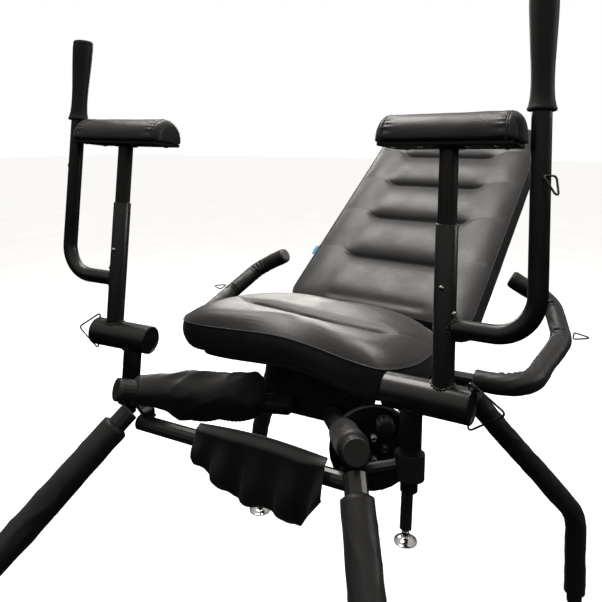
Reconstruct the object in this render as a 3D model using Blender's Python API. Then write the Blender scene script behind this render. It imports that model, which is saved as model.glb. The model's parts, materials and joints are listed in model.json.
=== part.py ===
"""Upholstered reclining seat on a splayed tubular frame, with two swivelling padded arm posts. Metres, +Z up.

The seat faces -Y. The frame's layout is drawn from the arms' pivot line, and the empty "layout" moves it so that
the box of the whole object is centred on the origin, with the floor at Z = 0.
"""

import math

import bmesh
import bpy
from mathutils import Matrix, Vector

# Overall places
LAYOUT_Y = -0.2693          # moves the layout so that the object's box is centred on Y = 0
GAP = 0.0003                # clearance between pieces that touch

# Hub and spokes
HUB_Y = 0.25
HUB_SIZE = (0.160, 0.120, 0.100)
HUB_TOP = 0.6637
TUBE_SIDES = 14
SPOKE_R = 0.0175
SPOKE_END = Vector((0.205, -0.087, 0.681))
SPOKE_DIR = Vector((-0.515, 0.857, -0.310)).normalized()
SPOKE_LENGTH = 0.3250
CAP_R = 0.0182
DISC_CENTRE = Vector((0.170, 0.064, 0.607))
DISC_R = 0.0680
BOLT_CIRCLE_R = 0.0172

# Wraps on the spokes: distance along the spoke, reach above its axis, reach below, half-width
SNUG_WRAP = ((0.022, 0.0225, 0.0225, 0.0225), (0.143, 0.0225, 0.0225, 0.0225))
BAGGY_WRAP = (
    (0.022, 0.0260, 0.0225, 0.0225), (0.066, 0.0345, 0.0228, 0.0240), (0.090, 0.0380, 0.0300, 0.0280),
    (0.115, 0.0420, 0.0420, 0.0300), (0.160, 0.0460, 0.0400, 0.0300), (0.210, 0.0510, 0.0370, 0.0300),
    (0.245, 0.0530, 0.0340, 0.0280), (0.262, 0.0450, 0.0280, 0.0240),
)

# Cross frame and pivot sockets
CROSS_R = 0.0125
CROSS_Y = -0.055
CROSS_Z = 0.618
PIVOT_X = 0.252
PIVOT_Y = -0.005
LEAN = math.radians(5.4)    # the arms lean back from the upright
TOE = math.radians(3.5)     # the arms' outer ends point a little forward
TILT = math.radians(0.9)    # the arms lean a little inward
SOCKET_R = 0.0205
SPIGOT_R = 0.0120

# Legs and feet
LEG_R = 0.0160
SLEEVE_R = 0.0225
FOOT_X = 0.420
FRONT_FOOT_Y = -0.442
REAR_FOOT_Y = 0.674
CENTRE_FOOT_Y = 0.740
FOOT_R = 0.0310
FOOT_HEIGHT = 0.034

# Arm assembly, in its own frame: X outward, Z up the post, origin where the pivot meets the transverse tube
ARM_Z = 0.7355
CROSS_TUBE_R = 0.0235
CROSS_TUBE_X = (-0.038, 0.083)
POST_X = 0.043
OUTER_POST_R = 0.0150
INNER_POST_R = 0.0130
OUTER_POST_TOP = 0.2335
INNER_POST_TOP = 0.3360
HANDLE_X = 0.160
HANDLE_Z = 0.097
HANDLE_R = 0.0125
HANDLE_BEND = 0.054
HANDLE_TOP = 0.5240
GRIP_BOTTOM = 0.381
PAD_LENGTH = 0.194
PAD_DEPTH = 0.080
PAD_HEIGHT = 0.040
INNER_POST_LOW = 0.0820
BUTTON_Z = 0.150
BUTTON_HOLE_R = 0.0042
HOLE_PITCH = 0.025          # the inner post's five lock holes
BAIL_R = 0.0015

# Hoops
HOOP_R = 0.0110
HOOP_COVER_R = 0.0190
HOOP_Y = 0.288
HOOP_Z = 0.6550
RECEIVER_R = 0.0140

# Seat assembly, in its own frame: origin on the hub's turning axis, floor at Z = 0
SEAT_TURN = math.radians(-7.0)
SEAT_HALF_WIDTH = 0.245
SEAT_FRONT = -0.137
SEAT_LOBE = 0.036           # how far the two front lobes stand before the middle
SEAT_BACK = 0.100
SEAT_BOTTOM = 0.6843
SEAT_SEAM = 0.7370
SEAT_TOP = 0.7640

# Backrest, in its own frame: origin on the hinge, Y along the board, Z out of its face
HINGE_Y = 0.150
HINGE_Z = 0.6400
BACK_ANGLE = math.radians(36.0)
BACK_LENGTH = (0.060, 0.736)
BACK_HALF_WIDTH = 0.220
BACK_BOARD_Z = (-0.0230, -0.0113)
BACK_SEAM = 0.0440
BACK_CROWN = 0.0120


# ---------------------------------------------------------------- materials and scene
def clear_scene():
    for obj in list(bpy.data.objects):
        bpy.data.objects.remove(obj, do_unlink=True)


def material(name, colour, roughness, metallic=0.0):
    found = bpy.data.materials.get(name)
    if found:
        return found
    made = bpy.data.materials.new(name)
    made.use_nodes = True
    shader = made.node_tree.nodes["Principled BSDF"]
    shader.inputs["Base Color"].default_value = (*colour, 1.0)
    shader.inputs["Roughness"].default_value = roughness
    shader.inputs["Metallic"].default_value = metallic
    return made


def paint():
    return material("black_paint", (0.012, 0.012, 0.013), 0.35)


def leatherette():
    return material("leatherette", (0.022, 0.021, 0.022), 0.45)


def rubber():
    return material("rubber", (0.015, 0.015, 0.015), 0.75)


def chrome():
    return material("chrome", (0.75, 0.75, 0.76), 0.12, 1.0)


def steel_wire():
    return material("dark_wire", (0.05, 0.05, 0.055), 0.30, 1.0)


def plywood():
    return material("board", (0.030, 0.028, 0.026), 0.70)


def plastic():
    return material("plastic", (0.020, 0.020, 0.021), 0.40)


def empty(name, parent, location, matrix=None):
    made = bpy.data.objects.new(name, None)
    bpy.context.scene.collection.objects.link(made)
    made.parent = parent
    turn = matrix.to_4x4() if matrix else Matrix()
    made.matrix_basis = Matrix.Translation(location) @ turn
    return made


def finish(name, bm, look, parent, smooth_angle=40.0):
    """Makes the object of a closed mesh, its faces pointing out and its round sides shaded smooth."""
    bmesh.ops.recalc_face_normals(bm, faces=bm.faces)
    mesh = bpy.data.meshes.new(name)
    bm.to_mesh(mesh)
    bm.free()
    mesh.materials.append(look)
    made = bpy.data.objects.new(name, mesh)
    bpy.context.scene.collection.objects.link(made)
    made.parent = parent
    mesh.shade_smooth()
    mesh.set_sharp_from_angle(angle=math.radians(smooth_angle))
    return made


def combine(obj, other, operation):
    """Adds an exact Boolean of another mesh, which becomes a hidden helper."""
    modifier = obj.modifiers.new(operation.lower(), "BOOLEAN")
    modifier.operation = operation
    modifier.object = other
    modifier.solver = "EXACT"
    other.hide_render = True
    other.display_type = "WIRE"


# ---------------------------------------------------------------- shapes
def bend(points, radii, steps=5):
    """The path through the points, each inner corner rounded to its radius."""
    path = [Vector(points[0])]
    for before, corner, after, radius in zip(points, points[1:], points[2:], radii):
        corner = Vector(corner)
        back = (Vector(before) - corner).normalized()
        on = (Vector(after) - corner).normalized()
        half = back.angle(on) / 2
        centre = corner + (back + on).normalized() * radius / math.sin(half)
        reach = radius / math.tan(half)
        start = corner + back * reach - centre
        stop = corner + on * reach - centre
        axis = start.cross(stop).normalized()
        turn = start.angle(stop)
        for i in range(steps + 1):
            path.append(centre + Matrix.Rotation(turn * i / steps, 3, axis) @ start)
    path.append(Vector(points[-1]))
    return path


def rings_along(path, radius, sides):
    """Circles square to the path, carried along it without twist."""
    rings = []
    tangent = (path[1] - path[0]).normalized()
    up = tangent.orthogonal().normalized()
    for i, point in enumerate(path):
        before = path[max(i - 1, 0)]
        after = path[min(i + 1, len(path) - 1)]
        into = (point - before).normalized() if i else (after - point).normalized()
        out = (after - point).normalized() if i < len(path) - 1 else into
        new = (into + out).normalized()
        up = (tangent.rotation_difference(new) @ up).normalized()
        tangent = new
        side = tangent.cross(up)
        stretch = 1 / max(math.cos(into.angle(out, 0.0) / 2), 0.5)
        normal = into.cross(out)
        ring = []
        for k in range(sides):
            angle = 2 * math.pi * k / sides
            offset = up * math.cos(angle) + side * math.sin(angle)
            if normal.length > 1e-9:
                outward = normal.cross(tangent).normalized()
                offset += outward * offset.dot(outward) * (stretch - 1)
            ring.append(point + offset * radius)
        rings.append(ring)
    return rings


def skin(bm, rings, closed=False):
    """Joins rings of equal count by quads, and returns their vertices."""
    made = [[bm.verts.new(p) for p in ring] for ring in rings]
    pairs = list(zip(made, made[1:]))
    if closed:
        pairs.append((made[-1], made[0]))
    for low, high in pairs:
        for k in range(len(low)):
            j = (k + 1) % len(low)
            bm.faces.new((low[k], low[j], high[j], high[k]))
    return made


def rod(path, radius, sides=TUBE_SIDES):
    """A solid round bar along a path."""
    bm = bmesh.new()
    made = skin(bm, rings_along(path, radius, sides))
    bm.faces.new(made[0])
    bm.faces.new(made[-1])
    return bm


def pipe(path, radius, bore, sides=TUBE_SIDES):
    """A tube along a path, open right through."""
    bm = bmesh.new()
    outer = rings_along(path, radius, sides)
    inner = rings_along(path, bore, sides)
    skin(bm, outer + inner[::-1], closed=True)
    return bm


def turned(profile, sides=16):
    """A solid turned about Z from (radius, height) points, which start and end off the axis."""
    bm = bmesh.new()
    rings = []
    for radius, height in profile:
        angles = [2 * math.pi * k / sides for k in range(sides)]
        rings.append([Vector((radius * math.cos(a), radius * math.sin(a), height)) for a in angles])
    made = skin(bm, rings)
    bm.faces.new(made[0])
    bm.faces.new(made[-1])
    return bm


def box(low, high):
    bm = bmesh.new()
    bmesh.ops.create_cube(bm, size=1.0)
    for vertex in bm.verts:
        for i in range(3):
            vertex.co[i] = low[i] if vertex.co[i] < 0 else high[i]
    return bm


def bevelled_box(low, high, width):
    bm = box(low, high)
    bmesh.ops.bevel(bm, geom=bm.edges[:], offset=width, segments=2, affect="EDGES", profile=0.5)
    return bm


def moved(bm, matrix):
    bmesh.ops.transform(bm, matrix=matrix, verts=bm.verts)
    return bm


def frame_along(direction, origin):
    """A matrix that takes +Z to a direction at an origin."""
    turn = Vector((0, 0, 1)).rotation_difference(Vector(direction).normalized())
    return Matrix.Translation(origin) @ turn.to_matrix().to_4x4()


def mirror_x(point, side):
    return Vector((point[0] * side, point[1], point[2]))


def mirrored(points, side):
    return [mirror_x(p, side) for p in points]


# ---------------------------------------------------------------- frame
def hub(layout):
    low = Vector((-HUB_SIZE[0] / 2, HUB_Y - HUB_SIZE[1] / 2, HUB_TOP - HUB_SIZE[2]))
    high = Vector((HUB_SIZE[0] / 2, HUB_Y + HUB_SIZE[1] / 2, HUB_TOP))
    block = finish("hub_block", bevelled_box(low, high, 0.004), paint(), layout)
    for side in (1, -1):
        path = mirrored([(0.070, HOOP_Y, HOOP_Z), (0.225, HOOP_Y, HOOP_Z)], side)
        combine(block, finish("receiver_tube", rod(path, RECEIVER_R, 20), paint(), layout), "UNION")
    for side in (1, -1):
        path = mirrored([(0.0765, HOOP_Y, HOOP_Z), (0.240, HOOP_Y, HOOP_Z)], side)
        combine(block, finish("receiver_bore", rod(path, HOOP_R + GAP, 20), paint(), layout), "DIFFERENCE")
    return block


def spoke(layout, side, name):
    end = mirror_x(SPOKE_END, side)
    along = mirror_x(SPOKE_DIR, side)
    path = [end, end + along * SPOKE_LENGTH]
    finish("front_spoke_" + name, rod(path, SPOKE_R, 18), paint(), layout)
    profile = [(CAP_R - 0.0015, 0.0060), (CAP_R, 0.0045), (CAP_R, GAP), (0.004, GAP)]
    cap = moved(turned(profile, 20), frame_along(-along, end))
    finish("spoke_cap_" + name, cap, plastic(), layout)


def cross_frame(layout):
    """Cross tube with a riser, a link plate and a pivot socket at each end, welded into one piece."""
    span = 0.192
    path = [Vector((-span, CROSS_Y, CROSS_Z)), Vector((span, CROSS_Y, CROSS_Z))]
    frame = finish("front_cross_frame", rod(path, CROSS_R), paint(), layout)
    for side in (1, -1):
        arm = arm_matrix(side)
        socket = moved(turned([(SOCKET_R, -0.112), (SOCKET_R, -0.078)], 20), arm)
        combine(frame, finish("socket", socket, paint(), layout), "UNION")
        near = Vector((side * 0.1790, CROSS_Y + 0.006, 0.6280))
        far = Vector((side * (PIVOT_X - 0.006), PIVOT_Y - 0.012, 0.6420))
        combine(frame, finish("link_bar", rod([near, far], 0.0085, 10), paint(), layout), "UNION")
        riser = [Vector((side * 0.1790, CROSS_Y + 0.006, CROSS_Z)), Vector((side * 0.1790, CROSS_Y + 0.006, 0.6385))]
        combine(frame, finish("riser", rod(riser, 0.0100), paint(), layout), "UNION")
    for side in (1, -1):
        bore = moved(turned([(SPIGOT_R + GAP, -0.130), (SPIGOT_R + GAP, -0.060)], 20), arm_matrix(side))
        combine(frame, finish("socket_bore", bore, paint(), layout), "DIFFERENCE")


def front_leg(layout, side, name):
    corner = Vector((FOOT_X, FRONT_FOOT_Y, 0.2590))
    knee = Vector((0.228, -0.123, 0.590))
    up = (knee - corner).normalized()
    start = knee + up * 0.078
    foot = Vector((FOOT_X, FRONT_FOOT_Y, FOOT_HEIGHT))
    path = bend(mirrored([start, corner, foot], side), [0.090])
    finish("front_leg_" + name, rod(path, LEG_R, 12), paint(), layout)
    ends = [knee + up * 0.052, corner, foot + Vector((0, 0, 0.020))]
    sleeve = bend(mirrored(ends, side), [0.090])
    finish("front_leg_sleeve_" + name, pipe(sleeve, SLEEVE_R, LEG_R + 2 * GAP, 12), leatherette(), layout)


def rear_leg(layout, side, name):
    start = Vector((0.056, HUB_Y + HUB_SIZE[1] / 2 + 0.0145, 0.6060))
    shoulder = Vector((0.205, 0.425, 0.5980))
    corner = Vector((FOOT_X, REAR_FOOT_Y, 0.2350))
    foot = Vector((FOOT_X, REAR_FOOT_Y, FOOT_HEIGHT))
    path = bend(mirrored([start, shoulder, corner, foot], side), [0.060, 0.090])
    finish("rear_leg_" + name, rod(path, LEG_R, 12), paint(), layout)
    slope = (corner - shoulder).normalized()
    ends = [shoulder + slope * 0.055, corner, foot + Vector((0, 0, 0.020))]
    sleeve = bend(mirrored(ends, side), [0.090])
    finish("rear_leg_sleeve_" + name, pipe(sleeve, SLEEVE_R, LEG_R + 2 * GAP, 12), leatherette(), layout)


def centre_leg(layout):
    start = Vector((0, HUB_Y + HUB_SIZE[1] / 2 + 0.0046, 0.6330))
    corner = Vector((0, 0.800, 0.5000))
    foot = Vector((0, CENTRE_FOOT_Y, FOOT_HEIGHT + 0.001))
    path = bend([start, corner, foot], [0.110], 6)
    path[-1] = foot
    finish("rear_centre_leg", rod(path, LEG_R, 12), paint(), layout)


def levelling_foot(layout, name, x, y):
    """Bell foot with its neck nut, on the turning axis of its stem."""
    centre = empty("foot_axis_" + name, layout, Vector((x, y, 0)))
    profile = [(FOOT_R, 0.0), (FOOT_R, 0.0030), (0.0260, 0.0080), (0.0160, 0.0130), (0.0085, 0.0170)]
    profile += [(0.0085, 0.0200), (0.0120, 0.0202), (0.0120, FOOT_HEIGHT - 4 * GAP)]
    finish("levelling_foot_" + name, turned(profile, 16), chrome(), centre)


def flange_disc(layout):
    """Round plate square to the right spoke's heading, notched round it, with four hex bolts and a knob."""
    across = Vector((-SPOKE_DIR.y, SPOKE_DIR.x, 0)).normalized() * -1
    up = Vector((0, 0, 1))
    seat = Matrix.Translation(DISC_CENTRE) @ Matrix((across, up, across.cross(up))).transposed().to_4x4()
    plate = turned([(DISC_R - 0.002, -0.0080), (DISC_R, -0.0065), (DISC_R, -0.0015), (DISC_R - 0.002, 0.0)], 28)
    disc = finish("flange_disc", moved(plate, seat), paint(), layout)
    path = [SPOKE_END, SPOKE_END + SPOKE_DIR * SPOKE_LENGTH]
    combine(disc, finish("disc_notch", rod(path, SPOKE_R + 2 * GAP, 18), paint(), layout), "DIFFERENCE")
    for i in range(4):
        angle = math.pi / 2 * i
        place = Vector((BOLT_CIRCLE_R * math.cos(angle), BOLT_CIRCLE_R * math.sin(angle), 0))
        washer = [(0.0062, GAP), (0.0062, 0.0016), (0.0052, 0.0017), (0.0050, 0.0060), (0.0040, 0.0066)]
        finish(f"disc_bolt_{i + 1}", moved(turned(washer, 12), seat @ Matrix.Translation(place)), chrome(), layout)
    axis = empty("knob_axis", layout, seat @ Vector((0.0140, 0.0470, GAP)), seat.to_3x3())
    profile = [(0.0050, 0.0), (0.0050, 0.0100), (0.0120, 0.0120), (0.0140, 0.0160), (0.0140, 0.0300)]
    profile += [(0.0120, 0.0330)]
    finish("lock_knob", turned(profile, 16), plastic(), axis)


# ---------------------------------------------------------------- soft covers of the frame
def spoke_wrap(layout, side, name):
    """Leatherette wrap round a front spoke: baggy on the left, and snug up to the flange disc on the right."""
    end = mirror_x(SPOKE_END, side)
    along = mirror_x(SPOKE_DIR, side)
    across = along.cross(Vector((0, 0, 1))).normalized()
    lift = across.cross(along)
    outer, inner = [], []
    for reach, above, below, half in SNUG_WRAP if side > 0 else BAGGY_WRAP:
        centre = end + along * reach
        angles = [2 * math.pi * k / 14 for k in range(14)]
        bore = SPOKE_R + 2 * GAP
        inner.append([centre + across * bore * math.cos(a) + lift * bore * math.sin(a) for a in angles])
        ring = []
        for a in angles:
            height = math.sin(a) * (above if math.sin(a) > 0 else below)
            ring.append(centre + across * half * math.cos(a) + lift * height)
        outer.append(ring)
    bm = bmesh.new()
    skin(bm, outer + inner[::-1], closed=True)
    finish("spoke_wrap_" + name, bm, leatherette(), layout)


def apron(layout):
    """The hanging leatherette sheet before the cross tube, as one thin block."""
    outline = [(-0.060, 0.644), (-0.066, 0.620), (-0.065, 0.605), (-0.043, 0.582), (-0.023, 0.578), (0.004, 0.558)]
    outline += [(0.093, 0.555), (0.115, 0.547), (0.147, 0.591), (0.153, 0.609), (0.154, 0.640), (0.050, 0.654)]
    bm = bmesh.new()
    rings = [[Vector((x, y, z)) for x, z in outline] for y in (CROSS_Y - 0.028, CROSS_Y - 0.016)]
    made = skin(bm, rings)
    bm.faces.new(made[0])
    bm.faces.new(made[-1])
    finish("apron", bm, leatherette(), layout)


# ---------------------------------------------------------------- arm assemblies
def arm_matrix(side):
    """The arm's frame in the layout: X outward on the right, Z up the leaning post."""
    place = Matrix.Translation(Vector((side * PIVOT_X, PIVOT_Y, ARM_Z)))
    lean = Matrix.Rotation(-side * TILT, 4, "Y") @ Matrix.Rotation(-LEAN, 4, "X")
    return place @ Matrix.Rotation(-side * TOE, 4, "Z") @ lean


def swivel_post(arm, side, name):
    """Transverse tube with the pivot post below it and the outer post above it, welded into one piece."""
    low, high = CROSS_TUBE_X
    path = mirrored([(low, 0, 0), (low + 0.0015, 0, 0), (high - 0.0015, 0, 0), (high, 0, 0)], side)
    rings = rings_along(path, CROSS_TUBE_R, 20)
    for ring, centre in ((rings[0], path[0]), (rings[-1], path[-1])):
        for point in ring:
            point += (centre - point) * 0.06
    bm = bmesh.new()
    made = skin(bm, rings)
    bm.faces.new(made[0])
    bm.faces.new(made[-1])
    post = finish("swivel_post_" + name, bm, paint(), arm)
    pivot = turned([(0.0105, -0.1300), (SPIGOT_R, -0.1285), (SPIGOT_R, -0.0777), (0.0155, -0.0777), (0.0155, 0.0)], 18)
    combine(post, finish("pivot_post", pivot, paint(), arm), "UNION")
    outer = rod([Vector((side * POST_X, 0, 0)), Vector((side * POST_X, 0, OUTER_POST_TOP))], OUTER_POST_R, 18)
    combine(post, finish("outer_post", outer, paint(), arm), "UNION")
    bore = [Vector((side * POST_X, 0, 0.0300)), Vector((side * POST_X, 0, OUTER_POST_TOP + 0.02))]
    combine(post, finish("post_bore", rod(bore, INNER_POST_R + 2 * GAP, 18), paint(), arm), "DIFFERENCE")
    hole = [Vector((side * POST_X, -0.0100, BUTTON_Z)), Vector((side * POST_X, -0.0300, BUTTON_Z))]
    combine(post, finish("button_hole", rod(hole, BUTTON_HOLE_R, 12), paint(), arm), "DIFFERENCE")


def side_handle(arm, side, name):
    """J-shaped tube, welded to the outer post and bent up into the tall hand hold, with its rubber grip."""
    start = (POST_X + OUTER_POST_R - 0.0004 + 4 * GAP, 0, HANDLE_Z)
    points = [start, (HANDLE_X, 0, HANDLE_Z), (HANDLE_X, 0, HANDLE_TOP)]
    path = bend(mirrored(points, side), [HANDLE_BEND], 7)
    finish("side_handle_" + name, rod(path, HANDLE_R, 16), paint(), arm)
    base = GRIP_BOTTOM
    top = HANDLE_TOP + 0.0060
    inner = HANDLE_R + GAP
    outline = [(inner, base), (0.0180, base), (0.0180, base + 0.003), (0.0142, base + 0.022), (0.0146, base + 0.050)]
    outline += [(0.0170, base + 0.095), (0.0182, top - 0.014), (0.0178, top - 0.004), (0.0150, top)]
    outline += [(0.0030, top), (0.0030, HANDLE_TOP + 2 * GAP), (inner, HANDLE_TOP + 2 * GAP)]
    bm = bmesh.new()
    sides = 16
    angles = [2 * math.pi * k / sides for k in range(sides)]
    rings = [[Vector((r * math.cos(a) + side * HANDLE_X, r * math.sin(a), z)) for a in angles] for r, z in outline]
    skin(bm, rings, closed=True)
    finish("grip_" + name, bm, rubber(), arm)


def pad_post(arm, side, name):
    """Telescoping inner post, the board on it, and the half-round pad."""
    place = empty("pad_axis_" + name, arm, Vector((side * POST_X, 0, 0)))
    path = [Vector((0, 0, INNER_POST_LOW)), Vector((0, 0, INNER_POST_TOP))]
    post = finish("inner_post_" + name, rod(path, INNER_POST_R, 18), paint(), place)
    for i in range(-2, 3):
        height = BUTTON_Z + i * HOLE_PITCH
        hole = [Vector((0, -0.0070, height)), Vector((0, -0.0200, height))]
        combine(post, finish("lock_hole", rod(hole, BUTTON_HOLE_R, 10), paint(), place), "DIFFERENCE")
    half = PAD_LENGTH / 2
    depth = PAD_DEPTH / 2
    base = INNER_POST_TOP + GAP
    board = bevelled_box((-half + 0.006, -depth + 0.004, base), (half - 0.006, depth - 0.004, base + 0.0060), 0.0015)
    finish("pad_board_" + name, board, plywood(), place)
    base += 0.0060 + GAP
    angles = [math.pi * i / 12 for i in range(13)]
    arch = [(depth * math.cos(a), PAD_HEIGHT * math.sin(a) ** 0.8) for a in angles]
    rings = []
    for x, scale in ((-half, 0.93), (-half + 0.004, 1.0), (half - 0.004, 1.0), (half, 0.93)):
        rings.append([Vector((x, y * scale, base + z * scale)) for y, z in arch])
    bm = bmesh.new()
    made = skin(bm, rings)
    bm.faces.new(made[0])
    bm.faces.new(made[-1])
    finish("pad_cushion_" + name, bm, leatherette(), place)


def lock_button(arm, side, name):
    """Spring button through the front wall of the outer post, pressed in along +Y."""
    place = empty("button_axis_" + name, arm, Vector((side * POST_X, 0, BUTTON_Z)))
    profile = [(0.0036, 0.0140), (0.0036, 0.0172), (0.0026, 0.0186)]
    finish("lock_button_" + name, moved(turned(profile, 12), frame_along((0, -1, 0), (0, 0, 0))), chrome(), place)


def bail(name, parent, reach, half, stand):
    """Triangular wire loop on its swing axis (local Z), with its two ends turned in to the tube."""
    points = [(0, 0, stand), (0, 0, half), (reach, 0, 0), (0, 0, -half), (0, 0, -stand)]
    path = bend(points, [0.003, 0.004, 0.003], 3)
    finish(name, rod(path, BAIL_R, 6), steel_wire(), parent)


def arm_assembly(layout, side, name):
    arm = empty("arm_" + name, layout, Vector(), None)
    arm.matrix_basis = arm_matrix(side)
    swivel_post(arm, side, name)
    side_handle(arm, side, name)
    pad_post(arm, side, name)
    lock_button(arm, side, name)
    outward = Matrix.Rotation(0 if side > 0 else math.pi, 3, "Z")
    end = empty("tube_bail_axis_" + name, arm, Vector((side * 0.0780, 0, 0)), outward)
    bail("tube_bail_" + name, end, 0.0480, 0.0320, CROSS_TUBE_R + 0.0003)
    hang = Matrix.Rotation(math.radians(90), 3, "X")
    turn = outward @ Matrix.Rotation(math.radians(-35), 3, "Z")
    place = Vector((side * HANDLE_X, 0, 0.300)) + turn @ Vector((HANDLE_R + 0.0022, 0, 0))
    swing = empty("handle_bail_axis_" + name, arm, place, turn @ Matrix.Rotation(math.radians(62), 3, "Y") @ hang)
    ring("handle_bail_" + name, swing, 0.0340, 0.0110)


def ring(name, parent, reach, half):
    """Closed triangular wire ring whose short side lies on its swing axis (local Z)."""
    corners = [Vector((0, 0, half)), Vector((reach, 0, 0)), Vector((0, 0, -half))]
    path = []
    for i, corner in enumerate(corners):
        before = corners[i - 1]
        after = corners[(i + 1) % 3]
        path += bend([(before + corner) / 2, corner, (corner + after) / 2], [0.0035], 3)[1:-1]
    rings = []
    middle = sum(corners, Vector()) / 3
    for i, point in enumerate(path):
        along = (path[(i + 1) % len(path)] - path[i - 1]).normalized()
        up = Vector((0, 1, 0))
        out = up.cross(along).normalized()
        if out.dot(point - middle) < 0:
            out = -out
        angles = [2 * math.pi * k / 6 for k in range(6)]
        rings.append([point + (out * math.cos(a) + up * math.sin(a)) * BAIL_R for a in angles])
    bm = bmesh.new()
    skin(bm, rings, closed=True)
    finish(name, bm, steel_wire(), parent)


# ---------------------------------------------------------------- hoops
def hoop_points(start, end_short):
    points = [Vector((start, HOOP_Y, HOOP_Z)), Vector((0.362, HOOP_Y, HOOP_Z)), Vector((0.397, 0.500, 0.6840))]
    last = Vector((0.284, 0.590, 0.7770))
    corner = Vector((0.368, 0.590, 0.7330))
    return [*points, corner, last + (corner - last).normalized() * end_short]


def hoop(layout, side, name):
    """Bent bar that slides in its receiver, its padded cover, and the wire ring on the cover."""
    radii = [0.060, 0.055, 0.045]
    path = bend(mirrored(hoop_points(0.090, 0.006), side), radii, 4)
    finish("hoop_bar_" + name, rod(path, HOOP_R - GAP, 10), paint(), layout)
    cover = bend(mirrored(hoop_points(0.272, 0.0), side), radii, 4)
    finish("hoop_cover_" + name, pipe(cover, HOOP_COVER_R, HOOP_R + GAP, 10), leatherette(), layout)
    outward = Matrix.Rotation(0 if side > 0 else math.pi, 3, "Z") @ Matrix.Rotation(math.radians(-side * 78), 3, "X")
    axis = empty("hoop_ring_axis_" + name, layout, Vector((side * 0.4180, 0.497, 0.6965)), outward)
    ring("hoop_ring_" + name, axis, 0.0320, 0.0140)


# ---------------------------------------------------------------- seat and backrest
def seat_outline(count=14):
    """Half-widths and depths round the seat: two shallow front lobes, rounded front corners, round back."""
    right = []
    for i in range(count + 1):
        u = i / count
        x = SEAT_HALF_WIDTH * 0.80 * u
        right.append((x, SEAT_FRONT - SEAT_LOBE * math.sin(math.pi * min(u, 1.0) / 2) ** 2))
    corner = 8
    reach = SEAT_HALF_WIDTH * 0.20
    front = SEAT_FRONT - SEAT_LOBE
    for i in range(1, corner + 1):
        a = math.pi / 2 * i / corner
        right.append((SEAT_HALF_WIDTH - reach + reach * math.sin(a), front + 0.075 * (1 - math.cos(a))))
    last = right[-1]
    for i in range(1, 13):
        a = math.pi / 2 * i / 12
        x = last[0] * math.cos(a) ** 0.75
        right.append((x, last[1] + (SEAT_BACK - last[1]) * math.sin(a) ** 0.9))
    left = [(-x, y) for x, y in right[1:-1]]
    return right[:-1] + [(0.0, SEAT_BACK)] + left[::-1]


def shrunk(outline, amount):
    """The outline drawn in by about an amount, about its middle."""
    middle = (SEAT_FRONT + SEAT_BACK) / 2
    across = 1 - amount / SEAT_HALF_WIDTH
    along = 1 - amount / ((SEAT_BACK - SEAT_FRONT) / 2 + SEAT_LOBE)
    return [(x * across, middle + (y - middle) * along) for x, y in outline]


def stacked(name, outline, levels, look, parent):
    bm = bmesh.new()
    rings = [[Vector((x, y, height)) for x, y in shrunk(outline, inset)] for height, inset in levels]
    made = skin(bm, rings)
    bm.faces.new(made[0])
    bm.faces.new(made[-1])
    return finish(name, bm, look, parent)


def seat_assembly(layout):
    seat = empty("seat_axis", layout, Vector((0, HUB_Y, 0)), Matrix.Rotation(SEAT_TURN, 3, "Z"))
    plate = turned([(0.070, HUB_TOP + GAP), (0.070, 0.6717)], 24)
    finish("swivel_plate", plate, paint(), seat)
    outline = seat_outline(7)
    stacked("seat_board", outline, [(0.6720, 0.030), (0.6840, 0.030)], plywood(), seat)
    levels = [(SEAT_BOTTOM, 0.022), (SEAT_BOTTOM + 0.006, 0.008), (SEAT_BOTTOM + 0.020, 0.001), (SEAT_SEAM, 0.0)]
    levels += [(SEAT_SEAM + 0.010, 0.010), (SEAT_SEAM + 0.019, 0.030), (SEAT_TOP, 0.060)]
    stacked("seat_cushion", outline, levels, leatherette(), seat)
    back_bracket(seat)
    backrest(seat)


def back_bracket(seat):
    """Two arms under the seat board that carry the backrest's hinge pin in their ends."""
    bridge = box((-0.090, 0.082, 0.6600), (0.090, 0.100, 0.6716))
    bracket = finish("back_bracket", bridge, paint(), seat)
    for side in (1, -1):
        low = min(side * 0.074, side * 0.090)
        arm = box((low, 0.082, 0.6300), (low + 0.016, HINGE_Y, 0.6716))
        combine(bracket, finish("bracket_arm", arm, paint(), seat), "UNION")
        eye = moved(turned([(0.0150, 0.0), (0.0150, 0.016)], 20), frame_along((1, 0, 0), (low, HINGE_Y, HINGE_Z)))
        combine(bracket, finish("bracket_eye", eye, paint(), seat), "UNION")
    hole = rod([Vector((-0.120, HINGE_Y, HINGE_Z)), Vector((0.120, HINGE_Y, HINGE_Z))], 0.0063, 16)
    combine(bracket, finish("pin_hole", hole, paint(), seat), "DIFFERENCE")
    pin = rod([Vector((-0.104, HINGE_Y, HINGE_Z)), Vector((0.104, HINGE_Y, HINGE_Z))], 0.0060, 16)
    finish("hinge_pin", pin, chrome(), seat)


def back_outline(grow):
    """Rounded outline of the backrest in its own frame, wider by the given amount."""
    low, high = BACK_LENGTH[0] - grow, BACK_LENGTH[1] + grow
    half = BACK_HALF_WIDTH + grow
    corners = [(half, low, 0.030), (half, high, 0.060), (-half, high, 0.060), (-half, low, 0.030)]
    points = []
    for i, (x, y, r) in enumerate(corners):
        centre = (x - math.copysign(r, x), y + r if y == low else y - r)
        first = (-math.pi / 2, 0.0, math.pi / 2, math.pi)[i]
        for k in range(6):
            a = first + math.pi / 2 * k / 5
            points.append((centre[0] + r * math.cos(a), centre[1] + r * math.sin(a)))
    return points


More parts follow.
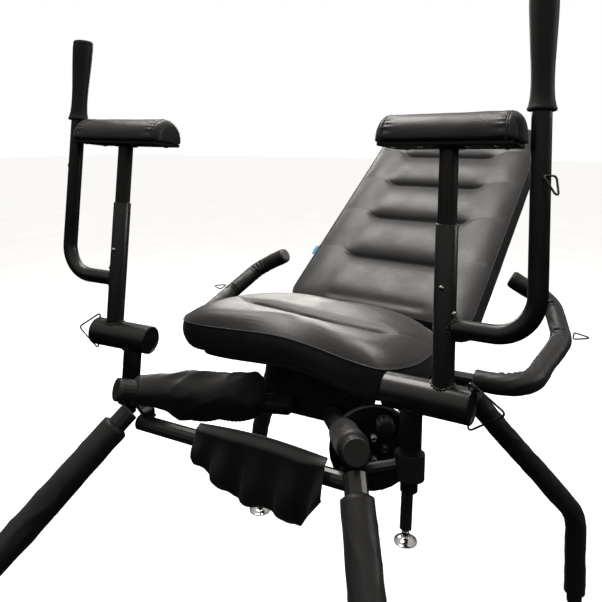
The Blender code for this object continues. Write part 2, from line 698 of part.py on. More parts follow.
def backrest(seat):
    turn = Matrix.Rotation(BACK_ANGLE, 3, "X")
    back = empty("back_axis", seat, Vector((0, HINGE_Y, HINGE_Z)), turn)
    low, high = BACK_BOARD_Z
    outline = back_outline(-0.012)
    bm = bmesh.new()
    made = skin(bm, [[Vector((x, y, z)) for x, y in outline] for z in (low, high)])
    bm.faces.new(made[0])
    bm.faces.new(made[-1])
    board = finish("back_board", bm, plywood(), back)
    for side in (1, -1):
        near = min(side * 0.056, side * 0.068)
        for place, size in (((near, -0.0110, -0.0300), (0.0120, 0.0230, 0.0410)),
                            ((near, -0.0110, -0.0300), (0.0120, 0.1100, 0.0180))):
            lug = box(place, [a + b for a, b in zip(place, size)])
            combine(board, finish("board_lug", lug, plywood(), back), "UNION")
    hole = rod([Vector((-0.120, 0, 0)), Vector((0.120, 0, 0))], 0.0063, 16)
    combine(board, finish("lug_hole", hole, plywood(), back), "DIFFERENCE")
    rings = []
    base = high + GAP
    levels = [(base, -0.010), (base + 0.008, -0.002), (BACK_SEAM - 0.004, 0.0), (BACK_SEAM, -0.002)]
    levels += [(BACK_SEAM + 0.008, -0.014), (BACK_SEAM + BACK_CROWN, -0.045)]
    for height, grow in levels:
        rings.append([Vector((x, y, height)) for x, y in back_outline(grow)])
    bm = bmesh.new()
    made = skin(bm, rings)
    bm.faces.new(made[0])
    bm.faces.new(made[-1])
    finish("back_cushion", bm, leatherette(), back)


# ---------------------------------------------------------------- the whole object
def main():
    clear_scene()
    layout = empty("layout", None, Vector((0, LAYOUT_Y, 0)))
    hub(layout)
    cross_frame(layout)
    for side, name in ((-1, "left"), (1, "right")):
        spoke(layout, side, name)
        front_leg(layout, side, name)
        rear_leg(layout, side, name)
        spoke_wrap(layout, side, name)
        levelling_foot(layout, "front_" + name, side * FOOT_X, FRONT_FOOT_Y)
        levelling_foot(layout, "rear_" + name, side * FOOT_X, REAR_FOOT_Y)
        arm_assembly(layout, side, name)
        hoop(layout, side, name)
    centre_leg(layout)
    levelling_foot(layout, "rear_centre", 0.0, CENTRE_FOOT_Y)
    flange_disc(layout)
    apron(layout)
    seat_assembly(layout)
    bpy.context.view_layer.update()


main()
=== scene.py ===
import json
import math

import bmesh
import bpy
import numpy as np
from mathutils import Matrix, Vector, noise


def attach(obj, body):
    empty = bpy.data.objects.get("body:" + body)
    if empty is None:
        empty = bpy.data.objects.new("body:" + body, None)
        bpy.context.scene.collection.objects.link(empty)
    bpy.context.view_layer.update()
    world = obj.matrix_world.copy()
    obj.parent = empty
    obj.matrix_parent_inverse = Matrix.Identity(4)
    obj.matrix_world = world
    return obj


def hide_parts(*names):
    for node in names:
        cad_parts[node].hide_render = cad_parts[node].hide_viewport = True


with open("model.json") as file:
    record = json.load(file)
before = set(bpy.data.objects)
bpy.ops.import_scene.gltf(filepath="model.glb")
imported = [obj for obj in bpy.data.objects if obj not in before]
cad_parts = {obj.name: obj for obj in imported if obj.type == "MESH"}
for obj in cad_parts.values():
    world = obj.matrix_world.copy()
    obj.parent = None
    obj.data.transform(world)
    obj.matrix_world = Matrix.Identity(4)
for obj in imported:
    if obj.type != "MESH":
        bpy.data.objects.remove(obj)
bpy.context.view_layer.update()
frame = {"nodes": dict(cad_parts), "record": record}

NODES = frame["nodes"]
SIDES = ((-1, "left"), (1, "right"))

# Places repeated from the CAD source, in metres
LAYOUT_Y = -0.2693
HUB_Y = 0.25
SEAT_TURN = math.radians(-7.0)
BACK_ANGLE = math.radians(36.0)
SPOKE_END = Vector((0.205, -0.087, 0.681))
SPOKE_DIR = Vector((-0.515, 0.857, -0.310)).normalized()
SPOKE_R = 0.0175
PIVOT_X = 0.252
PIVOT_Y = -0.005
ARM_Z = 0.7355
LEAN = math.radians(5.4)
TOE = math.radians(3.5)
TILT = math.radians(0.9)
FOOT_X = 0.420
FRONT_FOOT_Y = -0.442
REAR_FOOT_Y = 0.674
CENTRE_FOOT_Y = 0.740
SLEEVE_END_Z = 0.054
LEG_BEND = 0.090
LEG_R = 0.0160
SLEEVE_R = 0.0225
CROSS_Y = -0.055
CROSS_TUBE_R = 0.0235
POST_X = 0.043
OUTER_POST_R = 0.0150
OUTER_POST_TOP = 0.2335
PIVOT_POST_R = 0.0155
HANDLE_X = 0.160
HANDLE_Z = 0.097
HANDLE_BEND = 0.054
BUTTON_Z = 0.150
HANDLE_R = 0.0125
HANDLE_TOP = 0.524
GRIP_BOTTOM = 0.381
INNER_POST_TOP = 0.3360
HOOP_Y = 0.288
HOOP_Z = 0.6550
HOOP_START = 0.272
HOOP_R = 0.0110
HOOP_COVER_R = 0.0190
DISC_CENTRE = Vector((0.170, 0.064, 0.607))
SEAT_HALF_WIDTH = 0.245
SEAT_FRONT = -0.137
SEAT_LOBE = 0.036
SEAT_BACK = 0.100
SEAT_SEAM = 0.7370
SEAT_CROWN = 0.0270
SEAT_PIPING_R = 0.00115
BACK_LOW = 0.060
BACK_TOP = 0.736
BACK_HALF_WIDTH = 0.220
BACK_BASE = -0.0110
BACK_SEAM = 0.0440
BACK_CROWN = 0.0120
BACK_PIPING_R = 0.0010
CREASES = (0.212, 0.352, 0.482, 0.605)

LAYOUT = Matrix.Translation((0, LAYOUT_Y, 0))
SEAT = LAYOUT @ Matrix.Translation((0, HUB_Y, 0)) @ Matrix.Rotation(SEAT_TURN, 4, "Z")
BACK = SEAT @ Matrix.Translation((0, 0.150, 0.640)) @ Matrix.Rotation(BACK_ANGLE, 4, "X")


def arm_matrix(side):
    """The arm's frame: X outward on the right, Z up the leaning post."""
    place = Matrix.Translation((side * PIVOT_X, PIVOT_Y + LAYOUT_Y, ARM_Z))
    lean = Matrix.Rotation(-side * TILT, 4, "Y") @ Matrix.Rotation(-LEAN, 4, "X")
    return place @ Matrix.Rotation(-side * TOE, 4, "Z") @ lean


# ---------------------------------------------------------------- materials
class Look:
    """A node material in the making: short names for the nodes that the looks share."""

    def __init__(self, name):
        self.made = bpy.data.materials.new(name)
        self.made.use_nodes = True
        self.tree = self.made.node_tree
        self.shader = self.tree.nodes["Principled BSDF"]
        self.place = self.node("ShaderNodeTexCoord").outputs["Object"]

    def node(self, kind, **values):
        made = self.tree.nodes.new(kind)
        for key, value in values.items():
            setattr(made, key, value)
        return made

    def link(self, out, to):
        self.tree.links.new(out, to)

    def noise(self, scale, detail=3.0, rough=0.5, distortion=0.0, stretch=None):
        made = self.node("ShaderNodeTexNoise")
        made.inputs["Scale"].default_value = scale
        made.inputs["Detail"].default_value = detail
        made.inputs["Roughness"].default_value = rough
        made.inputs["Distortion"].default_value = distortion
        self.link(self.stretched(stretch), made.inputs["Vector"])
        return made.outputs["Fac"]

    def stretched(self, stretch):
        if stretch is None:
            return self.place
        made = self.node("ShaderNodeMapping")
        made.inputs["Scale"].default_value = stretch
        self.link(self.place, made.inputs["Vector"])
        return made.outputs["Vector"]

    def cells(self, scale, feature="F1"):
        made = self.node("ShaderNodeTexVoronoi", feature=feature)
        made.inputs["Scale"].default_value = scale
        self.link(self.place, made.inputs["Vector"])
        return made.outputs["Distance"]

    def ramp(self, value, low, high, start=0.3, stop=0.7):
        """A colour or grey that goes from low to high as the value goes from start to stop."""
        made = self.node("ShaderNodeValToRGB")
        for element, place, colour in zip(made.color_ramp.elements, (start, stop), (low, high)):
            element.position = place
            element.color = (*colour, 1.0) if hasattr(colour, "__len__") else (colour, colour, colour,
                1.0)
        self.link(value, made.inputs["Fac"])
        return made.outputs["Color"]

    def mix(self, factor, a, b, blend="MIX"):
        made = self.node("ShaderNodeMix", data_type="RGBA", blend_type=blend)
        for socket, value in ((made.inputs[0], factor), (made.inputs[6], a), (made.inputs[7], b)):
            if isinstance(value, bpy.types.NodeSocket):
                self.link(value, socket)
            elif hasattr(value, "__len__"):
                socket.default_value = (*value, 1.0)
            else:
                socket.default_value = value
        return made.outputs[2]

    def edges(self, start=0.52, stop=0.60):
        """White along convex edges, for wear."""
        return self.ramp(self.node("ShaderNodeNewGeometry").outputs["Pointiness"], 0.0, 1.0, start, stop)

    def bump(self, heights):
        """Chains a bump for each (height, strength, distance), and feeds the shader's normal."""
        normal = None
        for height, strength, distance in heights:
            made = self.node("ShaderNodeBump")
            made.inputs["Strength"].default_value = strength
            made.inputs["Distance"].default_value = distance
            self.link(height, made.inputs["Height"])
            if normal:
                self.link(normal, made.inputs["Normal"])
            normal = made.outputs["Normal"]
        self.link(normal, self.shader.inputs["Normal"])

    def set(self, **values):
        for key, value in values.items():
            socket = self.shader.inputs[key.replace("_", " ")]
            if isinstance(value, bpy.types.NodeSocket):
                self.link(value, socket)
            elif hasattr(value, "__len__"):
                socket.default_value = (*value, 1.0)
            else:
                socket.default_value = value


def leatherette(name, base, lift, rough, grain=1.0):
    """Grained black imitation leather: pebbled cells, fine pores, soft creases and a slight handling sheen."""
    look = Look(name)
    cloud = look.noise(9.0, 4.0)
    colour = look.mix(look.ramp(cloud, 0.0, 1.0, 0.35, 0.7), base, lift)
    pebble = look.cells(620.0)
    colour = look.mix(look.ramp(pebble, 0.55, 0.0, 0.0, 0.5), colour, (0.006, 0.006, 0.006))
    scuff = look.ramp(look.noise(38.0, 6.0, 0.65, 0.6), 0.0, 0.35, 0.60, 0.78)
    colour = look.mix(scuff, colour, (0.050, 0.047, 0.045))
    rubbed = look.ramp(look.noise(16.0, 5.0, 0.6), rough - 0.07, rough + 0.09, 0.3, 0.7)
    look.set(Base_Color=colour, Roughness=rubbed, Specular_IOR_Level=0.46)
    look.set(Sheen_Weight=0.10, Sheen_Roughness=0.45)
    crease = look.ramp(look.noise(70.0, 3.0, 0.55, 1.2), 0.0, 1.0, 0.42, 0.50)
    look.bump([(crease, 0.10 * grain, 0.0006), (pebble, 0.26 * grain, 0.0004),
        (look.noise(1500.0, 2.0), 0.10, 0.0002)])
    return look.made


def satin_paint(name, base=(0.0085, 0.0083, 0.0085)):
    """Satin black powder coat: orange peel, faint dust, a little rubbing on the edges."""
    look = Look(name)
    colour = look.mix(look.ramp(look.noise(14.0, 5.0), 0.0, 1.0, 0.4, 0.7), base, (0.015, 0.0145, 0.014))
    colour = look.mix(look.edges(0.56, 0.70), colour, (0.055, 0.052, 0.050))
    scratch = look.ramp(look.noise(180.0, 2.0, 0.5, 0.3, (1.0, 1.0, 0.06)), 0.0, 0.4, 0.70, 0.74)
    colour = look.mix(scratch, colour, (0.035, 0.034, 0.033))
    look.set(Base_Color=colour, Roughness=look.ramp(look.noise(22.0, 5.0), 0.25, 0.38, 0.3, 0.7))
    look.set(Specular_IOR_Level=0.5, Coat_Weight=0.15, Coat_Roughness=0.22)
    look.bump([(look.noise(420.0, 2.0), 0.10, 0.0003), (scratch, 0.15, 0.0001)])
    return look.made


def moulded_rubber():
    look = Look("grip_rubber")
    colour = look.mix(look.ramp(look.noise(30.0, 5.0), 0.0, 1.0), (0.009, 0.009, 0.009),
        (0.020, 0.019, 0.018))
    colour = look.mix(look.edges(0.55, 0.64), colour, (0.045, 0.043, 0.041))
    look.set(Base_Color=colour, Roughness=look.ramp(look.noise(26.0, 4.0), 0.50, 0.66),
        Specular_IOR_Level=0.42)
    look.bump([(look.cells(1300.0), 0.22, 0.0003), (look.noise(90.0, 3.0), 0.06, 0.0004)])
    return look.made


def bright_chrome():
    look = Look("bright_chrome")
    colour = look.mix(look.ramp(look.noise(60.0, 4.0), 0.0, 1.0, 0.4, 0.7), (0.78, 0.78, 0.79),
        (0.62, 0.61, 0.60))
    look.set(Base_Color=colour, Metallic=1.0,
        Roughness=look.ramp(look.noise(120.0, 4.0), 0.08, 0.24, 0.35, 0.75))
    look.bump([(look.noise(300.0, 3.0), 0.05, 0.0002)])
    return look.made


def wire_steel():
    look = Look("bail_wire")
    colour = look.mix(look.ramp(look.noise(150.0, 4.0), 0.0, 1.0, 0.4, 0.7), (0.045, 0.044, 0.043),
        (0.16, 0.155, 0.15))
    look.set(Base_Color=colour, Metallic=1.0, Roughness=look.ramp(look.noise(220.0, 4.0), 0.24, 0.42))
    look.bump([(look.noise(900.0, 2.0), 0.08, 0.0001)])
    return look.made


def stained_board():
    look = Look("stained_board")
    grain = look.noise(26.0, 6.0, 0.6, 0.8, (1.0, 9.0, 9.0))
    colour = look.mix(look.ramp(grain, 0.0, 1.0), (0.012, 0.011, 0.010), (0.034, 0.030, 0.026))
    look.set(Base_Color=colour, Roughness=look.ramp(grain, 0.58, 0.78), Specular_IOR_Level=0.35)
    look.bump([(grain, 0.25, 0.0005), (look.noise(700.0, 2.0), 0.12, 0.0002)])
    return look.made


def moulded_plastic():
    look = Look("moulded_plastic")
    colour = look.mix(look.ramp(look.noise(24.0, 4.0), 0.0, 1.0), (0.012, 0.012, 0.012),
        (0.024, 0.023, 0.023))
    colour = look.mix(look.edges(), colour, (0.05, 0.048, 0.046))
    look.set(Base_Color=colour, Roughness=look.ramp(look.noise(40.0, 4.0), 0.36, 0.52),
        Specular_IOR_Level=0.45)
    look.bump([(look.noise(1100.0, 2.0), 0.16, 0.0002)])
    return look.made


def woven_tag():
    look = Look("woven_tag")
    weave = look.node("ShaderNodeTexWave", wave_type="BANDS", bands_direction="DIAGONAL")
    weave.inputs["Scale"].default_value = 320.0
    look.link(look.place, weave.inputs["Vector"])
    colour = look.mix(weave.outputs["Fac"], (0.010, 0.20, 0.46), (0.028, 0.33, 0.62))
    look.set(Base_Color=colour, Roughness=look.ramp(look.noise(200.0), 0.62, 0.8), Sheen_Weight=0.2)
    look.bump([(weave.outputs["Fac"], 0.3, 0.0002)])
    return look.made


def grey_foam():
    look = Look("grey_foam")
    pores = look.cells(900.0)
    look.set(Base_Color=look.mix(look.ramp(pores, 0.0, 1.0), (0.10, 0.098, 0.095), (0.26, 0.25, 0.245)),
        Roughness=0.9)
    look.bump([(pores, 0.6, 0.0005)])
    return look.made


HIDE = leatherette("upholstery_leatherette", (0.0125, 0.0122, 0.0128), (0.021, 0.0200, 0.0205), 0.40)
SLEEVE_HIDE = leatherette("sleeve_leatherette", (0.0105, 0.0103, 0.0108), (0.0175, 0.0170, 0.0172),
    0.43, 0.8)
PAINT = satin_paint("satin_black_paint")
RUBBER = moulded_rubber()
CHROME = bright_chrome()
WIRE = wire_steel()
BOARD = stained_board()
PLASTIC = moulded_plastic()
TAG = woven_tag()
FOAM = grey_foam()
LOOKS = {
    "leatherette": (HIDE, "leatherette"), "sleeve": (SLEEVE_HIDE, "leatherette"), "paint": (PAINT,
        "black_paint"),
    "rubber": (RUBBER, "rubber"), "chrome": (CHROME, "chrome"), "wire": (WIRE, "dark_wire"),
    "board": (BOARD, "board"), "plastic": (PLASTIC, "plastic"), "tag": (TAG, "leatherette"),
    "foam": (FOAM, "rubber"),
}
BY_SLOT = {"black_paint": PAINT, "leatherette": SLEEVE_HIDE, "rubber": RUBBER, "chrome": CHROME}
BY_SLOT.update({"dark_wire": WIRE, "board": BOARD, "plastic": PLASTIC})


def dress_nodes():
    """Gives every carried-over CAD node its node material."""
    for row in frame["record"]["subparts"]:
        node = NODES[row["node"]]
        node.data.materials.clear()
        node.data.materials.append(BY_SLOT[row["material_slot"]])


# ---------------------------------------------------------------- mesh helpers
def make(name, verts, faces, look, body, matrix=None, replaces=(), angle=40.0, level=0):
    """A smooth-shaded piece in the row frame that rides on a body."""
    mesh = bpy.data.meshes.new(name)
    if matrix is not None:
        verts = [matrix @ Vector(v) for v in verts]
    mesh.from_pydata([tuple(v) for v in verts], [], faces)
    bm = bmesh.new()
    bm.from_mesh(mesh)
    bmesh.ops.recalc_face_normals(bm, faces=bm.faces)
    bm.to_mesh(mesh)
    bm.free()
    mesh.materials.append(LOOKS[look][0])
    mesh.shade_smooth()
    mesh.set_sharp_from_angle(angle=math.radians(angle))
    made = bpy.data.objects.new(name, mesh)
    bpy.context.scene.collection.objects.link(made)
    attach(made, body)
    if replaces:
        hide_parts(*replaces)
    if level:
        subdivision = made.modifiers.new("smooth", "SUBSURF")
        subdivision.levels = level
        subdivision.render_levels = level
    return made


def loft(rings, closed=False, caps=True):
    """Vertices and faces that join equal rings, with the ends filled."""
    count = len(rings[0])
    verts = [p for ring in rings for p in ring]
    faces = []
    spans = len(rings) if closed else len(rings) - 1
    for i in range(spans):
        a, b = i * count, ((i + 1) % len(rings)) * count
        faces += [(a + k, a + (k + 1) % count, b + (k + 1) % count, b + k) for k in range(count)]
    if caps and not closed:
        faces.append(tuple(range(count))[::-1])
        faces.append(tuple(range(len(verts) - count, len(verts))))
    return verts, faces


def grid_cap(verts, faces, ring, across, deep):
    """Fills a ring that goes round a grid of that many cells, with a grid blended between its four sides."""
    low = ring[:across + 1]
    right = ring[across:across + deep + 1]
    high = ring[across + deep:2 * across + deep + 1][::-1]
    left = [*ring[2 * across + deep:], ring[0]][::-1]
    table = {(i, 0): low[i] for i in range(across + 1)}
    table.update({(i, deep): high[i] for i in range(across + 1)})
    table.update({(0, j): left[j] for j in range(deep + 1)})
    table.update({(across, j): right[j] for j in range(deep + 1)})
    for j in range(1, deep):
        v = j / deep
        for i in range(1, across):
            u = i / across
            point = verts[low[i]] * (1 - v) + verts[high[i]] * v + verts[left[j]] * (1 - u) + verts[right[j]] * u
            point = point - (verts[low[0]] * (1 - u) + verts[low[across]] * u) * (1 - v)
            point = point - (verts[high[0]] * (1 - u) + verts[high[across]] * u) * v
            table[i, j] = len(verts)
            verts.append(point)
    for j in range(deep):
        for i in range(across):
            faces.append((table[i, j], table[i, j + 1], table[i + 1, j + 1], table[i + 1, j]))


def joined(parts):
    """Several (verts, faces) as one."""
    verts, faces = [], []
    for more, shapes in parts:
        base = len(verts)
        verts += list(more)
        faces += [tuple(base + i for i in shape) for shape in shapes]
    return verts, faces


def bend(points, radii, steps=16):
    """The path through the points, each inner corner rounded to its radius."""
    path = [Vector(points[0])]
    for before, corner, after, radius in zip(points, points[1:], points[2:], radii):
        corner = Vector(corner)
        back = (Vector(before) - corner).normalized()
        on = (Vector(after) - corner).normalized()
        half = back.angle(on) / 2
        centre = corner + (back + on).normalized() * radius / math.sin(half)
        reach = radius / math.tan(half)
        start = corner + back * reach - centre
        stop = corner + on * reach - centre
        axis = start.cross(stop).normalized()
        turn = start.angle(stop)
        path += [centre + Matrix.Rotation(turn * i / steps, 3, axis) @ start for i in range(steps + 1)]
    path.append(Vector(points[-1]))
    return path


def evenly(path, step):
    """The path again with its points a step apart."""
    lengths = [0.0]
    for a, b in zip(path, path[1:]):
        lengths.append(lengths[-1] + (b - a).length)
    count = max(int(round(lengths[-1] / step)), 2)
    wanted = np.linspace(0, lengths[-1], count + 1)
    flat = np.array([p[:] for p in path])
    return [Vector(p) for p in np.stack([np.interp(wanted, lengths, flat[:, i]) for i in range(3)], 1)]


def along(path):
    """For each point: (point, normal, binormal, arc length, bend vector), carried without twist."""
    tangent = (path[1] - path[0]).normalized()
    normal = tangent.orthogonal().normalized()
    stations, length = [], 0.0
    for i, point in enumerate(path):
        before = path[max(i - 1, 0)]
        after = path[min(i + 1, len(path) - 1)]
        new = (after - before).normalized()
        normal = (tangent.rotation_difference(new) @ normal).normalized()
        tangent = new
        length += (point - before).length
        near, far = path[max(i - 3, 0)], path[min(i + 3, len(path) - 1)]
        span = max((far - near).length / 2, 1e-6)
        curl = (near + far - 2 * point) / span**2
        stations.append((point, normal.copy(), tangent.cross(normal), length, curl))
    return stations


def sweep(path, radius, sides, caps=True):
    """A tube along the path. radius is a number, or a function of (arc length, angle, offset direction, curl, total)."""
    stations = along(path)
    total = stations[-1][3]
    rings = []
    for point, normal, side, length, curl in stations:
        ring = []
        for k in range(sides):
            angle = 2 * math.pi * k / sides
            offset = normal * math.cos(angle) + side * math.sin(angle)
            reach = radius(length, angle, offset, curl, total) if callable(radius) else radius
            ring.append(point + offset * reach)
        rings.append(ring)
    return loft(rings, caps=caps)


def closed_sweep(path, radius, sides=8):
    """A tube along a path that comes back to its start."""
    verts, faces = sweep(path, radius, sides, caps=False)
    last = (len(path) - 1) * sides
    faces += [(last + k, last + (k + 1) % sides, (k + 1) % sides, k) for k in range(sides)]
    return verts, faces


def turned(profile, sides=40, matrix=None):
    """A solid turned about Z from (radius, height) points."""
    rings = []
    for radius, height in profile:
        angles = [2 * math.pi * k / sides for k in range(sides)]
        rings.append([Vector((radius * math.cos(a), radius * math.sin(a), height)) for a in angles])
    verts, faces = loft(rings)
    return ([matrix @ v for v in verts], faces) if matrix else (verts, faces)


def aimed(direction, origin):
    turn = Vector((0, 0, 1)).rotation_difference(Vector(direction).normalized())
    return Matrix.Translation(origin) @ turn.to_matrix().to_4x4()


def wrinkle(angle, length, seed, around=1.3, rate=16.0, twist=0.0):
    """Smooth noise from -1 to 1 that closes round the tube."""
    turn = angle + twist * length
    return noise.noise(Vector((math.cos(turn) * around, math.sin(turn) * around + seed, length * rate)))


def fold(value, sharp=2.2):
    """Turns smooth noise into soft ridges with tight valleys."""
    return 1 - min(abs(value) * sharp, 1.0) ** 0.6


def smooth_step(low, high, value):
    t = min(max((value - low) / (high - low), 0.0), 1.0)
    return t * t * (3 - 2 * t)


def inflate(obj, pinned, pressure, cap, tension=14.0):
    """Cloth simulation that swells a cover against its pinned seams, applied to the mesh with its move capped."""
    scene = bpy.context.scene
    group = obj.vertex_groups.new(name="pinned")
    group.add([int(i) for i in pinned], 1.0, "REPLACE")
    count = len(obj.data.vertices) * 3
    rest = np.zeros(count)
    obj.data.vertices.foreach_get("co", rest)
    hidden = [m for m in obj.modifiers]
    for modifier in hidden:
        modifier.show_viewport = False
    cloth = obj.modifiers.new("cloth", "CLOTH")
    settings = cloth.settings
    settings.vertex_group_mass = "pinned"
    settings.quality = 6
    settings.mass = 0.25
    settings.tension_stiffness = tension
    settings.compression_stiffness = tension
    settings.shear_stiffness = 5.0
    settings.bending_stiffness = 8.0
    settings.tension_damping = 8.0
    settings.air_damping = 3.0
    settings.use_pressure = True
    settings.uniform_pressure_force = pressure
    settings.effector_weights.gravity = 0.0
    for step in range(1, 21):
        scene.frame_set(step)
    moved = np.zeros(count)
    obj.evaluated_get(bpy.context.evaluated_depsgraph_get()).data.vertices.foreach_get("co", moved)
    obj.modifiers.remove(cloth)
    scene.frame_set(1)
    for modifier in hidden:
        modifier.show_viewport = True
    move = (moved - rest).reshape(-1, 3)
    length = np.linalg.norm(move, axis=1, keepdims=True)
    move *= cap * np.tanh(length / cap) / np.maximum(length, 1e-9)
    obj.data.vertices.foreach_set("co", (rest.reshape(-1, 3) + move).ravel())
    obj.vertex_groups.remove(group)
    obj.data.update()


# ---------------------------------------------------------------- seat
def seat_outline():
    """The seat's outline as in the CAD source, finely stepped: two shallow front lobes and a round back."""
    right = []
    for i in range(41):
        u = i / 40
        right.append((SEAT_HALF_WIDTH * 0.80 * u,
            SEAT_FRONT - SEAT_LOBE * math.sin(math.pi * u / 2) ** 2))
    reach = SEAT_HALF_WIDTH * 0.20
    front = SEAT_FRONT - SEAT_LOBE
    for i in range(1, 25):
        a = math.pi / 2 * i / 24
        right.append((SEAT_HALF_WIDTH - reach + reach * math.sin(a), front + 0.075 * (1 - math.cos(a))))
    last = right[-1]
    for i in range(1, 60):
        a = math.pi / 2 * i / 60
        right.append((last[0] * math.cos(a) ** 0.75,
            last[1] + (SEAT_BACK - last[1]) * math.sin(a) ** 0.9))
    left = [(-x, y) for x, y in right[1:]]
    return np.array(right + [(0.0, SEAT_BACK)] + left[::-1])


def groove_line(x):
    """Where the seat's one sewn channel runs, from left to right."""
    return -0.057 - 0.020 * smooth_step(-0.16, 0.18, x)


def seat_height(x, y, edge):
    """Height of the seat's top above its seam: a broad crown, the sewn channel and a low roll behind it."""
    height = SEAT_CROWN * (1 - (1 - min(edge / 0.085, 1.0)) ** 2.6)
    height += 0.0012 * noise.noise(Vector((x * 9, y * 9, 4.1)))
    ends = smooth_step(-0.170, -0.120, x) * (1 - smooth_step(0.145, 0.195, x))
    off = y - groove_line(x)
    height -= ends * (0.0080 * math.exp(-((off / 0.0052) ** 2)) + 0.0040 * math.exp(-((off / 0.022) ** 2)))
    height += ends * 0.0022 * math.exp(-(((off - 0.019) / 0.012) ** 2))
    for end, lean in ((-0.165, -0.5), (0.182, 0.7)):
        pull = math.exp(-(((x - end) / 0.030) ** 2))
        height -= 0.0020 * pull * math.exp(-(((off - lean * (x - end)) / 0.0055) ** 2))
    return height


def seat_cushion():
    outline = seat_outline()
    middle = np.array((0.0, -0.030))
    scale = np.array((SEAT_HALF_WIDTH, 0.135))
    polar = (outline - middle) / scale
    angles = np.arctan2(polar[:, 1], polar[:, 0])
    order = np.argsort(angles)
    spans = np.linalg.norm(polar, axis=1)[order]
    angles = angles[order]

    def on_disc(a, b):
        """A point of the square as a point of the seat, with its rough distance from the seam."""
        u, v = a * math.sqrt(1 - b * b / 2), b * math.sqrt(1 - a * a / 2)
        r = math.hypot(u, v)
        reach = float(np.interp(math.atan2(v, u), angles, spans, period=2 * math.pi))
        x, y = middle + np.array((u, v)) * reach * scale
        width = math.hypot(u * scale[0], v * scale[1]) / r if r > 0.001 else scale[1]
        return x, y, (1 - r) * reach * width

    across, deep = 88, 112
    verts, faces, index = [], [], {}
    for j in range(deep + 1):
        for i in range(across + 1):
            x, y, edge = on_disc(2 * i / across - 1, 2 * j / deep - 1)
            index[i, j] = len(verts)
            verts.append(Vector((x, y, SEAT_SEAM + seat_height(x, y, edge))))
    for j in range(deep):
        for i in range(across):
            faces.append((index[i, j], index[i + 1, j], index[i + 1, j + 1], index[i, j + 1]))
    rim = [index[i, 0] for i in range(across)] + [index[across, j] for j in range(deep)]
    rim += [index[i, deep] for i in range(across, 0, -1)] + [index[0, j] for j in range(deep, 0, -1)]
    seam = [verts[i].copy() for i in rim]
    middle3 = Vector((0, -0.030, 0))
    levels = [(-0.0015, 0.0010), (-0.006, -0.0004), (-0.014, -0.0022), (-0.024, -0.0020),
        (-0.034, 0.0010)]
    levels += [(-0.0425, 0.0060), (-0.0490, 0.0130), (-0.0520, 0.0220), (-0.0527, 0.0340)]
    ring = rim
    for drop, inset in levels:
        new = []
        for point in seam:
            flat = Vector((point.x, point.y, 0)) - middle3
            ripple = 0.0006 * noise.noise(Vector((point.x * 30, point.y * 30, drop * 40)))
            flat -= flat.normalized() * (inset + ripple)
            new.append(len(verts))
            verts.append(middle3 + flat + Vector((0, 0, SEAT_SEAM + drop)))
        faces += [(ring[k], ring[(k + 1) % len(ring)], new[(k + 1) % len(new)],
            new[k]) for k in range(len(ring))]
        ring = new
    grid_cap(verts, faces, ring, across, deep)
    groove = [i for i, v in enumerate(verts) if abs(v.x) < 0.17 and v.z > SEAT_SEAM + 0.004
              and abs(v.y - groove_line(v.x)) < 0.0022]
    first_low = (across + 1) * (deep + 1) + 4 * len(rim)
    made = make("seat_upholstery", verts, faces, "leatherette", "seat", SEAT, ("seat_cushion",), 60, 1)
    inflate(made, rim + groove + list(range(first_low, len(verts))), 1.6, 0.0025)
    piping = evenly([Vector((p.x, p.y, p.z + 0.0002)) for p in [*seam, seam[0]]], 0.004)
    verts, faces = closed_sweep(piping[:-1], SEAT_PIPING_R)
    make("seat_piping", verts, faces, "leatherette", "seat", SEAT)
    stitches("seat_stitches", seam, middle3, 0.0058, "seat", SEAT, seat_height)


def stitches(name, seam, middle, inset, body, matrix, height):
    """Short threads that lie along a seam, a little inside it."""
    parts = []
    path = evenly([*seam, seam[0]], 0.0052)
    for a, b in zip(path, path[1:]):
        centre = (a + b) / 2
        tangent = (b - a).normalized()
        inward = (Vector((middle.x, middle.y, centre.z)) - centre).normalized()
        inward -= tangent * inward.dot(tangent)
        point = centre + inward.normalized() * inset
        point.z = SEAT_SEAM + height(point.x, point.y, inset) + 0.0002
        parts.append(sweep([point + tangent * t for t in (-0.0016, -0.0010, 0.0010, 0.0016)], 0.00032, 5))
    verts, faces = joined(parts)
    make(name, verts, faces, "sleeve", body, matrix)


# ---------------------------------------------------------------- backrest
def back_half_width(u):
    """Half the backrest's width at a height along it, following its rounded corners."""
    low = BACK_LOW + 0.030 - u
    high = u - (BACK_TOP - 0.060)
    if low > 0:
        return BACK_HALF_WIDTH - 0.030 + math.sqrt(max(0.030**2 - low**2, 0))
    if high > 0:
        return BACK_HALF_WIDTH - 0.060 + math.sqrt(max(0.060**2 - high**2, 0))
    return BACK_HALF_WIDTH


def back_rows():
    """Heights of the mesh rows, closer at the creases, each with its place between two creases."""
    stops = [BACK_LOW, *CREASES, BACK_TOP]
    rows = []
    for n, (low, high) in enumerate(zip(stops, stops[1:])):
        count = 22
        for i in range(count + (n == len(stops) - 2)):
            t = i / count
            eased = t - 0.12 * math.sin(2 * math.pi * t) / (2 * math.pi) * 2
            rows.append((low + (high - low) * eased, n, t))
    return rows


